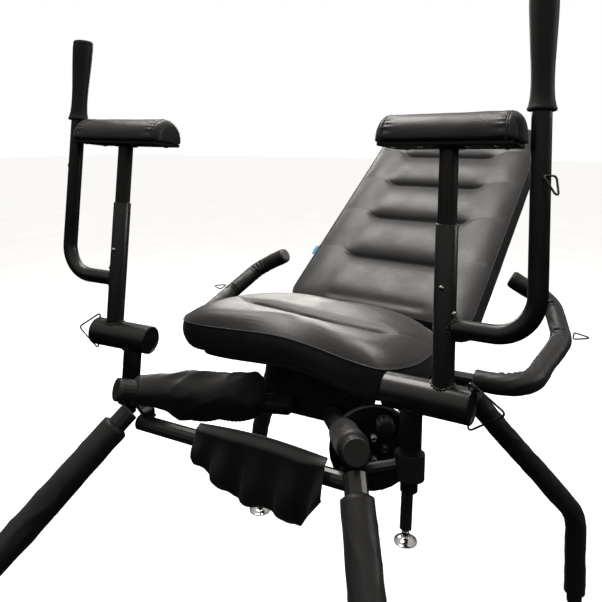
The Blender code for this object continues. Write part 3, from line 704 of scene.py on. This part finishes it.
def back_cushion():
    across = 76
    verts, faces, pinned = [], [], []
    rows = back_rows()
    last = len(CREASES)
    for u, n, t in rows:
        half = back_half_width(u)
        for i in range(across + 1):
            s = 2 * i / across - 1
            x = half * math.copysign(abs(s) ** 0.92, s)
            hooked = 0.0170 * smooth_step(0.112, 0.165, abs(x))
            ends = smooth_step(0, 0.6, (u - BACK_LOW) / 0.15) * smooth_step(0, 0.8, (BACK_TOP - u) / 0.13)
            edge = min(half - abs(x), u - BACK_LOW, BACK_TOP - u)
            deep = 1 - smooth_step(0.098, 0.150, abs(x))
            crown = BACK_CROWN * (1 - (1 - min(max(edge, 0) / 0.055, 1.0)) ** 2.3)
            bulge = abs(math.sin(math.pi * t)) ** 0.55
            if n == 0:
                bulge = max(bulge, smooth_step(0.5, 0.0, t) * 0.9)
            if n == last:
                bulge = max(bulge, smooth_step(0.5, 1.0, t) * 0.9)
            depth = 0.0185 * deep + 0.0018 * (1 - deep) * smooth_step(0.0, 0.02, half - abs(x))
            dent = depth * (1 - bulge) * smooth_step(0.0, 0.03, edge)
            shoulder = 0.0035 * deep * bulge
            z = BACK_SEAM + crown + shoulder - dent
            z += 0.0010 * noise.noise(Vector((x * 11, u * 11, 7.7))) * smooth_step(0, 0.03, edge)
            pucker = math.exp(-(((abs(x) - 0.128) / 0.022) ** 2)) * (1 - bulge)
            z += 0.0014 * pucker * noise.noise(Vector((x * 95, u * 70, 2.0)))
            if t == 0 and n > 0 and abs(s) < 0.995:
                pinned.append(len(verts))
            verts.append(Vector((x, u + hooked * ends, z)))
    width = across + 1
    for j in range(len(rows) - 1):
        for i in range(across):
            faces.append((j * width + i, j * width + i + 1, (j + 1) * width + i + 1, (j + 1) * width + i))
    top = (len(rows) - 1) * width
    rim = [i for i in range(across)] + [j * width + across for j in range(len(rows) - 1)]
    rim += [top + i for i in range(across, 0, -1)] + [j * width for j in range(len(rows) - 1, 0, -1)]
    seam = [verts[i].copy() for i in rim]
    centre = Vector((0, (BACK_LOW + BACK_TOP) / 2, 0))
    thickness = BACK_SEAM - BACK_BASE
    levels = [(0.02, 0.0010), (0.08, -0.0004), (0.25, -0.0014), (0.50, -0.0016), (0.75, -0.0004),
        (0.90, 0.0015)]
    levels += [(0.975, 0.0045), (1.0, 0.0100)]
    ring = rim
    for share, inset in levels:
        new = []
        for point in seam:
            away = Vector((point.x / BACK_HALF_WIDTH, (point.y - centre.y) / 0.338, 0))
            away = Vector((math.copysign(abs(away.x) ** 8, away.x),
                math.copysign(abs(away.y) ** 8, away.y), 0))
            ripple = 0.0005 * noise.noise(Vector((point.x * 25, point.y * 25, share * 3)))
            flat = Vector((point.x, point.y, 0)) - away.normalized() * (inset + ripple)
            new.append(len(verts))
            verts.append(Vector((flat.x, flat.y, point.z - thickness * share)))
        faces += [(ring[k], ring[(k + 1) % len(ring)], new[(k + 1) % len(new)],
            new[k]) for k in range(len(ring))]
        ring = new
    grid_cap(verts, faces, ring, across, len(rows) - 1)
    sides = range(len(rows) * width, len(verts))
    made = make("back_upholstery", verts, faces, "leatherette", "backrest", BACK, ("back_cushion",), 70,
        1)
    inflate(made, rim + pinned + list(sides), 2.0, 0.003)
    loop = evenly([Vector((p.x, p.y, p.z + 0.0004)) for p in [*seam, seam[0]]], 0.005)[:-1]
    verts, faces = closed_sweep(loop, BACK_PIPING_R)
    make("back_piping", verts, faces, "leatherette", "backrest", BACK)


def side_tag():
    """Small woven tag folded double and sewn into the backrest's left seam."""
    verts, faces = [], []
    for i in range(17):
        t = i / 16
        out = 0.017 * math.sin(math.pi * t) ** 0.5
        for j in range(7):
            u = 0.205 + 0.030 * j / 6
            lift = 0.0009 * math.cos(math.pi * t) + 0.0010 * math.sin(u * 260)
            verts.append(Vector((-BACK_HALF_WIDTH + 0.0015 - out, u, 0.0400 + lift - 0.10 * out)))
    for i in range(16):
        faces += [(i * 7 + j, i * 7 + j + 1, i * 7 + j + 8, i * 7 + j + 7) for j in range(6)]
    made = make("side_tag", verts, faces, "tag", "backrest", BACK)


# ---------------------------------------------------------------- arms
def weld(centre, axis, radius, other_radius, across, seed):
    """Rippled weld bead where a round bar of that radius meets a tube of another radius."""
    beads = []
    count = 56
    up = axis.cross(across)
    for i in range(count):
        a = 2 * math.pi * i / count
        drop = other_radius - math.sqrt(max(other_radius**2 - (radius * math.sin(a)) ** 2, 0))
        out = across * math.cos(a) + up * math.sin(a)
        beads.append(centre + out * (radius + 0.0006) - axis * drop)
    beads.append(beads[0])
    path = evenly(beads, 0.0011)[:-1]

    def swell(length, angle, offset, curl, total):
        return 0.0016 + 0.0006 * math.sin(length / 0.0024 * math.pi) + 0.0003 * wrinkle(angle, length,
            seed, 1, 300)

    return closed_sweep(path, swell)


def ring_wall(path, outer, bore, sides=36):
    """A tube open at its far end, with a rolled rim there."""
    along_z = (path[-1] - path[0]).normalized()
    base = aimed(along_z, path[0])
    high = (path[-1] - path[0]).length
    profile = [(outer, 0.0), (outer, high - 0.0012), (outer - 0.0005, high - 0.0003),
        (outer - 0.0010, high)]
    profile += [(bore + 0.0003, high), (bore, high - 0.0006), (bore, high - 0.030)]
    return turned(profile, sides, base)


def swivel_post(side, name):
    arm = arm_matrix(side)
    low, high = -0.038, 0.083
    x_axis = Vector((side, 0, 0))
    up = Vector((0, 0, 1))
    rim, r = 0.0021, CROSS_TUBE_R
    profile = [(0.0020, low + rim), (r - 0.0042, low + rim), (r - 0.0034, low + 0.0006),
        (r - 0.0016, low)]
    profile += [(r, low + 0.0014), (r, high - 0.0014), (r - 0.0016, high), (r - 0.0034, high - 0.0006)]
    profile += [(r - 0.0042, high - rim), (0.0020, high - rim)]
    parts = [turned(profile, 56, aimed(x_axis, Vector()))]
    pivot = [(0.0105, -0.1300), (0.0119, -0.1285), (0.0119, -0.0777), (0.0150, -0.0777),
        (0.0155, -0.0768), (0.0155, 0.0)]
    parts.append(turned(pivot, 40))
    foot = Vector((side * POST_X, 0, 0))
    parts.append(ring_wall([foot, foot + up * OUTER_POST_TOP], OUTER_POST_R, 0.0136, 40))
    parts.append(weld(foot + up * r, up, OUTER_POST_R, r, x_axis, 1.0 + side))
    parts.append(weld(-up * r, -up, PIVOT_POST_R, r, x_axis, 3.0 + side))
    verts, faces = joined(parts)
    make("swivel_tubes_" + name, verts, faces, "paint", "arm_" + name, arm, ("swivel_post_" + name,), 35)


def side_handle(side, name):
    arm = arm_matrix(side)
    start = Vector((side * (POST_X + OUTER_POST_R - 0.0030), 0, HANDLE_Z))
    corner = Vector((side * HANDLE_X, 0, HANDLE_Z))
    path = evenly(bend([start, corner, Vector((side * HANDLE_X, 0, HANDLE_TOP))], [HANDLE_BEND], 24),
        0.006)
    parts = [sweep(path, HANDLE_R, 36)]
    joint = Vector((side * (POST_X + OUTER_POST_R), 0, HANDLE_Z))
    parts.append(weld(joint, Vector((side, 0, 0)), HANDLE_R, OUTER_POST_R, Vector((0, 0, 1)), 5.0 + side))
    verts, faces = joined(parts)
    make("handle_tube_" + name, verts, faces, "paint", "arm_" + name, arm, ("side_handle_" + name,), 40)
    base, top = GRIP_BOTTOM, HANDLE_TOP + 0.0060
    profile = [(0.0128, base + 0.0002), (0.0168, base), (0.0178, base + 0.0006), (0.0182, base + 0.0018)]
    profile += [(0.0181, base + 0.0034), (0.0172, base + 0.0052), (0.0165, base + 0.0080),
        (0.0152, base + 0.0150)]
    profile += [(0.0144, base + 0.0260), (0.0142, base + 0.040), (0.0147, base + 0.060),
        (0.0158, base + 0.080)]
    profile += [(0.0170, base + 0.102), (0.0179, base + 0.122), (0.0182, top - 0.0160),
        (0.0182, top - 0.0085)]
    profile += [(0.0174, top - 0.0080), (0.0174, top - 0.0066), (0.0181, top - 0.0058),
        (0.0178, top - 0.0028)]
    profile += [(0.0166, top - 0.0008), (0.0148, top), (0.0052, top), (0.0044, top - 0.0012),
        (0.0040, top - 0.0030)]
    place = arm @ Matrix.Translation((side * HANDLE_X, 0, 0))
    verts, faces = turned(profile, 48)
    make("hand_grip_" + name, verts, faces, "rubber", "arm_" + name, place, ("grip_" + name,), 35)
    dome = [(0.0040, -0.0006), (0.0040, 0.0006), (0.0036, 0.0014), (0.0024, 0.0021), (0.0008, 0.0024)]
    spot = Vector((side * (POST_X + OUTER_POST_R * 0.94), -OUTER_POST_R * 0.34, 0.1165))
    verts, faces = turned(dome, 20, aimed(Vector((side * 0.94, -0.34, 0)), spot))
    make("post_rivet_" + name, verts, faces, "chrome", "arm_" + name, arm)


def button_and_post(side, name):
    arm = arm_matrix(side)
    spot = Vector((side * POST_X, 0, BUTTON_Z))
    profile = [(0.0034, 0.0142), (0.0036, 0.0165), (0.0035, 0.0174), (0.0030, 0.0181), (0.0020, 0.0185),
        (0.0006, 0.0186)]
    verts, faces = turned(profile, 24, aimed(Vector((0, -1, 0)), spot))
    make("button_dome_" + name, verts, faces, "chrome", "button_" + name, arm, ("lock_button_" + name,),
        60)


def arm_pad(side, name):
    """Half-round pad: full in the middle, with gathered end seams and soft end panels."""
    arm = arm_matrix(side) @ Matrix.Translation((side * POST_X, 0, 0))
    half, deep, high = 0.0970, 0.0400, 0.0400
    base = INNER_POST_TOP + 0.0066
    lengths = [-half + 0.0003, -half + 0.0018, -half + 0.0045, -half + 0.0080, -half + 0.0110,
        -half + 0.0128]
    lengths += [-half + 0.0138, -half + 0.0150, -half + 0.0175]
    lengths = lengths + list(np.linspace(-half + 0.022, half - 0.022, 44)) + [-x for x in lengths[::-1]]
    arch = 44
    rings, seam = [], []
    for x in lengths:
        end = half - abs(x)
        scale = 1.0 - 0.30 * max(0.0, 1 - end / 0.0135) ** 2.4
        scale -= 0.030 * math.exp(-(((end - 0.0138) / 0.0011) ** 2))
        ring = []
        for k in range(arch + 1):
            a = math.pi * k / arch
            gather = 0.0011 * math.exp(-(((end - 0.0190) / 0.0075) ** 2)) * math.sin(a * 23 + 2 * math.sin(a * 5))
            sag = 0.0006 * noise.noise(Vector((x * 28, a * 1.7, side * 3.0)))
            reach = scale + (gather + sag) / deep
            y, z = deep * math.cos(a) * reach, high * math.sin(a) ** 0.8 * reach
            ring.append(Vector((x, y, base + max(z, 0.0))))
        for k in range(1, 12):
            t = k / 12
            ring.append(Vector((x, ring[arch].y + (ring[0].y - ring[arch].y) * t, base)))
        rings.append(ring)
    verts, faces = loft(rings)
    made = make("arm_pad_cover_" + name, verts, faces, "leatherette", "pad_" + name, arm,
        ("pad_cushion_" + name,), 55, 1)
    ring_size = len(rings[0])
    seams = [i for i, x in enumerate(lengths) if half - abs(x) < 0.0145]
    pins = [i * ring_size + k for i in range(len(lengths)) for k in range(arch, ring_size)]
    pins += [i * ring_size for i in range(len(lengths))]
    pins += [i * ring_size + k for i in seams for k in range(ring_size)]
    inflate(made, sorted(set(pins)), 1.2, 0.0008)
    parts = []
    for end in (-1, 1):
        seam = []
        for k in range(arch + 1):
            a = math.pi * k / arch
            seam.append(Vector((end * (half - 0.0138), deep * math.cos(a) * 0.985,
                base + high * math.sin(a) ** 0.8 * 0.985)))
        parts.append(sweep(evenly(seam, 0.003), 0.0010, 8))
    verts, faces = joined(parts)
    make("arm_pad_piping_" + name, verts, faces, "leatherette", "pad_" + name, arm)
    heads = []
    cap = [(0.0042, 0.0), (0.0044, 0.0005), (0.0036, 0.0013), (0.0020, 0.0018), (0.0006, 0.0019)]
    for x, y in ((-0.070, -0.024), (-0.032, -0.024), (0.032, -0.024), (0.070, -0.024), (-0.070, 0.024),
        (0.070, 0.024)):
        heads.append(turned(cap, 14, aimed(Vector((0, 0, -1)), Vector((x, y, INNER_POST_TOP + 0.0003)))))
    verts, faces = joined(heads)
    make("board_screws_" + name, verts, faces, "chrome", "pad_" + name, arm)
    plate = [(0.0132, INNER_POST_TOP - 0.0030), (0.0205, INNER_POST_TOP - 0.0026),
        (0.0210, INNER_POST_TOP - 0.0020)]
    plate += [(0.0210, INNER_POST_TOP - 0.0004), (0.0205, INNER_POST_TOP)]
    verts, faces = turned(plate, 32)
    make("pad_flange_" + name, verts, faces, "paint", "pad_" + name, arm)


# ---------------------------------------------------------------- covers of the frame
def sleeve_radius(seed, radius, bore, bunch, gathers):
    """Radius of a padded sleeve: rolled hems, long dents, diagonal folds at the bends and a sewn ridge."""

    def reach(length, angle, offset, curl, total):
        end = min(length, total - length)
        hem = math.sqrt(1 - (1 - min(end / 0.0045, 1.0)) ** 2)
        body = bore + (radius - bore) * max(hem, 0.02)
        soft = smooth_step(0.004, 0.03, end)
        wave = 0.0014 * wrinkle(angle, length, seed, 0.9, 9.0)
        wave += 0.0016 * (fold(wrinkle(angle, length, seed + 7, 1.1, 20.0, 9.0)) - 0.45) * soft * bunch
        inner = max(offset.dot(curl) * radius, 0.0)
        tuck = math.sin(length / gathers * 2 * math.pi + 1.5 * math.sin(angle * 2 + seed))
        wave -= min(inner, 0.35) * 0.0095 * max(tuck, -0.2) ** 2 if inner > 0.02 else 0.0
        ridge = 0.0007 * math.exp(-(((angle - 2.4 + 0.15 * math.sin(length * 22)) / 0.06) ** 2))
        return body + (wave + ridge) * soft

    return reach


def leg_sleeves():
    for side, name in SIDES:
        corner = Vector((FOOT_X, FRONT_FOOT_Y, 0.2590))
        knee = Vector((0.228, -0.123, 0.590))
        up = (knee - corner).normalized()
        points = [knee + up * 0.052, corner, Vector((FOOT_X, FRONT_FOOT_Y, SLEEVE_END_Z))]
        front = [Vector((p.x * side, p.y + LAYOUT_Y, p.z)) for p in points]
        shoulder, turn = Vector((0.205, 0.425, 0.5980)), Vector((FOOT_X, REAR_FOOT_Y, 0.2350))
        points = [shoulder + (turn - shoulder).normalized() * 0.055, turn,
            Vector((FOOT_X, REAR_FOOT_Y, SLEEVE_END_Z))]
        rear = [Vector((p.x * side, p.y + LAYOUT_Y, p.z)) for p in points]
        for where, points, seed in (("front", front, 3.0 + side), ("rear", rear, 11.0 + side)):
            path = evenly(bend(points, [LEG_BEND], 20), 0.0045)
            shape = sleeve_radius(seed, SLEEVE_R, LEG_R - 0.0006, 1.0, 0.020)
            verts, faces = sweep(path, shape, 44)
            node = f"{where}_leg_sleeve_{name}"
            made = make(f"{where}_leg_cover_{name}", verts, faces, "sleeve", "frame", None, (node,), 70)


def hoop_path(side, start):
    points = [(start, HOOP_Y, HOOP_Z), (0.362, HOOP_Y, HOOP_Z), (0.397, 0.500, 0.6840),
        (0.368, 0.590, 0.7330)]
    points.append((0.284, 0.590, 0.7770))
    points = [Vector((x * side, y + LAYOUT_Y, z)) for x, y, z in points]
    return evenly(bend(points, [0.060, 0.055, 0.045], 20), 0.0028)


def hoop_covers():
    for side, name in SIDES:
        path = hoop_path(side, HOOP_START)

        def reach(length, angle, offset, curl, total, seed=20.0 + side):
            end = min(length, total - length)
            hem = math.sqrt(1 - (1 - min(end / 0.005, 1.0)) ** 2)
            body = HOOP_R - 0.0006 + (HOOP_COVER_R + 0.0006 - HOOP_R) * max(hem, 0.02)
            soft = smooth_step(0.004, 0.022, end)
            bent = curl.length
            inner = max(offset.dot(curl), 0.0) / max(bent, 1e-6)
            gather = min(bent * 0.06, 1.0) * inner**0.7
            phase = length / 0.0135 * 2 * math.pi + 2.2 * wrinkle(angle, length, seed, 0.8, 30)
            tuck = 1 - abs(math.sin(phase / 2)) ** 0.45
            wave = 0.0016 * wrinkle(angle, length, seed, 0.9, 14.0)
            wave += 0.0022 * (fold(wrinkle(angle, length, seed + 3, 1.2, 26.0,
                14.0)) - 0.4) * (0.4 + 0.6 * gather)
            wave += gather * (0.0022 - 0.0075 * tuck)
            return body + wave * soft

        verts, faces = sweep(path, reach, 52)
        made = make("hoop_padding_" + name, verts, faces, "sleeve", "hoop_" + name, None,
            ("hoop_cover_" + name,), 75)
        tip, before = path[-1], path[-4]
        out = (tip - before).normalized()
        profile = [(0.0170, -0.0040), (0.0172, -0.0006), (0.0160, 0.0006), (0.0120, 0.0010),
            (0.0060, 0.0008), (0.0008, 0.0006)]
        verts, faces = turned(profile, 36, aimed(out, tip))
        make("hoop_end_foam_" + name, verts, faces, "foam", "hoop_" + name)


def right_wrap():
    """Snug cover up to the round plate, with soft folds across it."""
    start = SPOKE_END + SPOKE_DIR * 0.022
    path = [start + SPOKE_DIR * (0.121 * i / 44) for i in range(45)]
    path = [p + Vector((0, LAYOUT_Y, 0)) for p in path]
    shape = sleeve_radius(31.0, 0.0222, SPOKE_R - 0.0006, 1.1, 0.016)
    verts, faces = sweep(path, shape, 48)
    made = make("spoke_cover_right", verts, faces, "sleeve", "frame", None, ("spoke_wrap_right",), 70)


def left_wrap():
    """Baggy cover: a wide sheet folded over the spoke, that hangs below it in loose folds."""
    mirrored = Vector((-1, 1, 1))
    end = SPOKE_END * mirrored + Vector((0, LAYOUT_Y, 0))
    heading = SPOKE_DIR * mirrored
    across = heading.cross(Vector((0, 0, 1))).normalized()
    lift = across.cross(heading)
    stations = ((0.022, 0.0250, 0.0215, 0.0215), (0.066, 0.0335, 0.0225, 0.0235),
        (0.090, 0.0370, 0.0290, 0.0265),
                (0.115, 0.0410, 0.0405, 0.0280), (0.160, 0.0450, 0.0390, 0.0275), (0.210, 0.0500,
                    0.0360, 0.0270),
                (0.245, 0.0515, 0.0330, 0.0250), (0.262, 0.0440, 0.0270, 0.0215))
    table = np.array(stations)
    rings = []
    count, sides = 70, 64
    for i in range(count + 1):
        reach = 0.022 + 0.240 * i / count
        above, below, half = [float(np.interp(reach, table[:, 0], table[:, k])) for k in (1, 2, 3)]
        near = min(reach - 0.022, 0.262 - reach)
        hem = max(math.sqrt(1 - (1 - min(near / 0.006, 1.0)) ** 2), 0.05)
        centre = end + heading * reach
        ring = []
        for k in range(sides):
            a = 2 * math.pi * k / sides
            sine = math.sin(a)
            tall = above if sine > 0 else below
            pinch = 1 - 0.42 * max(sine, 0.0) ** 2 - 0.15 * max(-sine, 0.0)
            point = Vector((half * math.cos(a) * pinch, tall * sine))
            loose = smooth_step(0.03, 0.12, reach) * smooth_step(0.0, 0.02, near)
            fan = wrinkle(a, reach, 41.0, 0.9, 10.0, -16.0)
            wave = 0.0045 * (fold(fan, 2.0) - 0.5) + 0.0030 * wrinkle(a, reach, 44.0, 1.5, 22.0)
            size = point.length
            point *= (size + wave * loose) / max(size, 1e-6)
            bore = Vector((math.cos(a), math.sin(a))) * (SPOKE_R - 0.0006)
            point = bore + (point - bore) * hem
            ring.append(centre + across * point.x + lift * point.y)
        rings.append(ring)
    verts, faces = loft(rings)
    made = make("spoke_cover_left", verts, faces, "sleeve", "frame", None, ("spoke_wrap_left",), 75)


APRON_LOW = ((-0.066, 0.612), (-0.060, 0.596), (-0.043, 0.582), (-0.020, 0.576), (0.004, 0.558),
    (0.045, 0.558),
             (0.093, 0.555), (0.116, 0.547), (0.136, 0.574), (0.154, 0.600))


def apron():
    """Loose leatherette sheet that hangs over the cross tube in deep vertical pleats."""
    low = np.array(APRON_LOW)
    across, down = 110, 44
    verts, faces, pinned = [], [], []
    for j in range(down + 1):
        t = j / down
        for i in range(across + 1):
            s = i / across
            x = -0.064 + 0.217 * s
            bottom = float(np.interp(x, low[:, 0], low[:, 1]))
            top = 0.648 + 0.006 * math.sin(math.pi * s)
            z = top + (bottom - top) * t
            hang = smooth_step(0.10, 0.9, t)
            pleat = math.sin(2 * math.pi * (4.2 * s + 0.12 * math.sin(5 * s) + 0.20 * t) + 0.6)
            pleat = math.copysign(abs(pleat) ** 0.75, pleat)
            y = CROSS_Y - 0.0165 + 0.010 * (1 - smooth_step(0.0, 0.16, t))
            y += -0.0065 * (1 + pleat) * hang + 0.0035 * noise.noise(Vector((x * 26, z * 14, 5.0))) * hang
            x += 0.004 * noise.noise(Vector((x * 18, z * 18, 9.0))) * hang
            if t < 0.17:
                pinned.append(len(verts))
            verts.append(Vector((x, y + LAYOUT_Y, z)))
    width = across + 1
    for j in range(down):
        faces += [(j * width + i, j * width + i + 1, (j + 1) * width + i + 1,
            (j + 1) * width + i) for i in range(across)]
    made = make("hanging_apron", verts, faces, "sleeve", "frame", None, ("apron",), 80)
    thick = made.modifiers.new("thickness", "SOLIDIFY")
    thick.thickness = 0.0014
    thick.offset = 0.0
    hem = [verts[down * width + i] for i in range(width)]
    piece_verts, piece_faces = sweep(evenly(hem, 0.003), 0.0013, 8)
    make("apron_hem", piece_verts, piece_faces, "sleeve", "frame")


# ---------------------------------------------------------------- hardware
def feet():
    """Pressed bell feet with a hex nut on the stem."""
    places = {"front_left": (-FOOT_X, FRONT_FOOT_Y), "front_right": (FOOT_X, FRONT_FOOT_Y)}
    places.update({"rear_left": (-FOOT_X, REAR_FOOT_Y), "rear_right": (FOOT_X, REAR_FOOT_Y)})
    places["rear_centre"] = (0.0, CENTRE_FOOT_Y)
    for name, (x, y) in places.items():
        centre = Matrix.Translation((x, y + LAYOUT_Y, 0))
        profile = [(0.0296, 0.0), (0.0306, 0.0006), (0.0310, 0.0020), (0.0306, 0.0032),
            (0.0290, 0.0040), (0.0268, 0.0056)]
        profile += [(0.0235, 0.0086), (0.0195, 0.0108), (0.0150, 0.0126), (0.0118, 0.0136),
            (0.0104, 0.0150)]
        profile += [(0.0096, 0.0164), (0.0080, 0.0172), (0.0072, 0.0176), (0.0072, 0.0200)]
        parts = [turned(profile, 56)]
        nut = [(0.0098, 0.0200), (0.0112, 0.0208), (0.0112, 0.0262), (0.0098, 0.0270)]
        parts.append(turned(nut, 6))
        thread = [(0.0072, 0.0268)]
        for i in range(4):
            thread += [(0.0072, 0.0272 + 0.0015 * i), (0.0064, 0.02795 + 0.0015 * i)]
        parts.append(turned(thread + [(0.0070, 0.0328)], 32))
        verts, faces = joined(parts)
        make("bell_foot_" + name, verts, faces, "chrome", "foot_" + name, centre,
            ("levelling_foot_" + name,), 30)


def disc_hardware():
    """Hex bolts with washers on the round plate, and a lobed locking knob."""
    across = Vector((-SPOKE_DIR.y, SPOKE_DIR.x, 0)).normalized() * -1
    up = Vector((0, 0, 1))
    seat = Matrix.Translation(DISC_CENTRE) @ Matrix((across, up, across.cross(up))).transposed().to_4x4()
    seat = LAYOUT @ seat
    for i in range(4):
        a = math.pi / 2 * i
        place = seat @ Matrix.Translation((0.0172 * math.cos(a), 0.0172 * math.sin(a), 0))
        washer = [(0.0028, 0.0003), (0.0062, 0.0003), (0.0064, 0.0008), (0.0062, 0.0014),
            (0.0030, 0.0015)]
        head = [(0.0050, 0.0014), (0.0052, 0.0020), (0.0052, 0.0052), (0.0046, 0.0060),
            (0.0032, 0.0063), (0.0030, 0.0050)]
        turn = Matrix.Rotation(0.5 * i, 4, "Z")
        verts, faces = joined([turned(washer, 28), turned(head, 6, turn)])
        make(f"hex_bolt_{i + 1}", verts, faces, "chrome", "frame", place, (f"disc_bolt_{i + 1}",), 25)
    place = seat @ Matrix.Translation((0.0140, 0.0470, 0.0003))
    rings = []
    profile = [(0.0050, 0.0), (0.0052, 0.0095), (0.0100, 0.0110), (0.0128, 0.0130), (0.0140, 0.0165),
        (0.0140, 0.0280)]
    profile += [(0.0130, 0.0312), (0.0105, 0.0326), (0.0060, 0.0330), (0.0010, 0.0330)]
    for radius, height in profile:
        ring = []
        for k in range(72):
            a = 2 * math.pi * k / 72
            lobe = 0.0009 * (math.cos(9 * a) - 1) * smooth_step(0.0125, 0.0138, radius)
            ring.append(Vector(((radius + lobe) * math.cos(a), (radius + lobe) * math.sin(a), height)))
        rings.append(ring)
    verts, faces = loft(rings)
    make("knob_lobed", verts, faces, "plastic", "knob", place, ("lock_knob",), 35)


def frame_welds():
    """Beads where the risers are welded on, one on each side."""
    parts = []
    up = Vector((0, 0, 1))
    for side, _ in SIDES:
        x_axis = Vector((1, 0, 0))
        parts.append(weld(Vector((side * 0.1790, CROSS_Y + 0.006, 0.6305)), up, 0.0100, 0.0125, x_axis,
            8.0 + side))
    verts, faces = joined(parts)
    make("frame_weld_beads", verts, faces, "paint", "frame", LAYOUT)


# ---------------------------------------------------------------- stage
def studio_world(scene):
    """White behind the object; a soft box overhead and a dark horizon for the light that falls on it."""
    world = bpy.data.worlds.new("studio")
    scene.world = world
    world.use_nodes = True
    tree = world.node_tree
    place = tree.nodes.new("ShaderNodeTexCoord")
    axes = tree.nodes.new("ShaderNodeSeparateXYZ")
    ramp = tree.nodes.new("ShaderNodeValToRGB")
    ramp.color_ramp.elements[0].color = (0.004, 0.004, 0.004, 1)
    ramp.color_ramp.elements[1].color = (0.62, 0.60, 0.57, 1)
    for height, grey in ((0.02, 0.05), (0.35, 0.34)):
        ramp.color_ramp.elements.new(height).color = (grey, grey * 0.975, grey * 0.94, 1)
    ray = tree.nodes.new("ShaderNodeLightPath")
    mix = tree.nodes.new("ShaderNodeMix")
    mix.data_type = "RGBA"
    mix.inputs[7].default_value = (1, 1, 1, 1)
    tree.links.new(place.outputs["Generated"], axes.inputs[0])
    tree.links.new(axes.outputs["Z"], ramp.inputs["Fac"])
    tree.links.new(ray.outputs["Is Camera Ray"], mix.inputs[0])
    tree.links.new(ramp.outputs["Color"], mix.inputs[6])
    tree.links.new(mix.outputs[2], tree.nodes["Background"].inputs["Color"])


def stage():
    scene = bpy.context.scene
    floor = bpy.data.meshes.new("floor")
    floor.from_pydata([(-30, -30, -0.0005), (30, -30, -0.0005), (30, 30, -0.0005), (-30, 30, -0.0005)],
        [], [(0, 1, 2, 3)])
    ground = bpy.data.objects.new("floor", floor)
    scene.collection.objects.link(ground)
    look = Look("pale_floor")
    pale = look.ramp(look.noise(3.0, 4.0), 0.86, 0.90)
    look.set(Base_Color=pale, Roughness=0.8, Specular_IOR_Level=0.2, Emission_Color=pale,
        Emission_Strength=0.62)
    floor.materials.append(look.made)
    ground.visible_glossy = False
    ground.visible_diffuse = False
    studio_world(scene)
    lights = (
        ("overhead", (-0.75, 0.45, 3.0), (0, 0.1, 0.8), 1.5, 62.0),
        ("back_left", (-1.5, 2.4, 1.75), (-0.1, 0, 0.75), 1.2, 30.0),
        ("rim", (2.6, 1.4, 1.8), (0, 0, 0.8), 0.7, 10.0),
    )
    for name, place, target, size, power in lights:
        lamp = bpy.data.lights.new(name, "AREA")
        lamp.shape = "SQUARE"
        lamp.size = size
        lamp.energy = power
        lamp.color = (1.0, 0.965, 0.92)
        holder = bpy.data.objects.new(name, lamp)
        holder.location = place
        holder.rotation_euler = (Vector(target) - Vector(place)).to_track_quat("-Z", "Y").to_euler()
        scene.collection.objects.link(holder)
    lens = bpy.data.cameras.new("camera")
    camera = bpy.data.objects.new("camera", lens)
    scene.collection.objects.link(camera)
    camera.location = (0.5042, -1.0616, 1.0828)
    camera.rotation_euler = (math.radians(90 - 2.952), 0, math.radians(28.255))
    lens.sensor_width = 36.0
    lens.lens = 36.0 * 609.4 / 602
    lens.shift_y = -0.2176
    lens.clip_start = 0.02
    scene.camera = camera
    scene.view_settings.view_transform = "Standard"


def main():
    dress_nodes()
    seat_cushion()
    back_cushion()
    side_tag()
    for side, name in SIDES:
        swivel_post(side, name)
        side_handle(side, name)
        button_and_post(side, name)
        arm_pad(side, name)
    leg_sleeves()
    hoop_covers()
    left_wrap()
    right_wrap()
    apron()
    feet()
    disc_hardware()
    frame_welds()
    stage()


main()
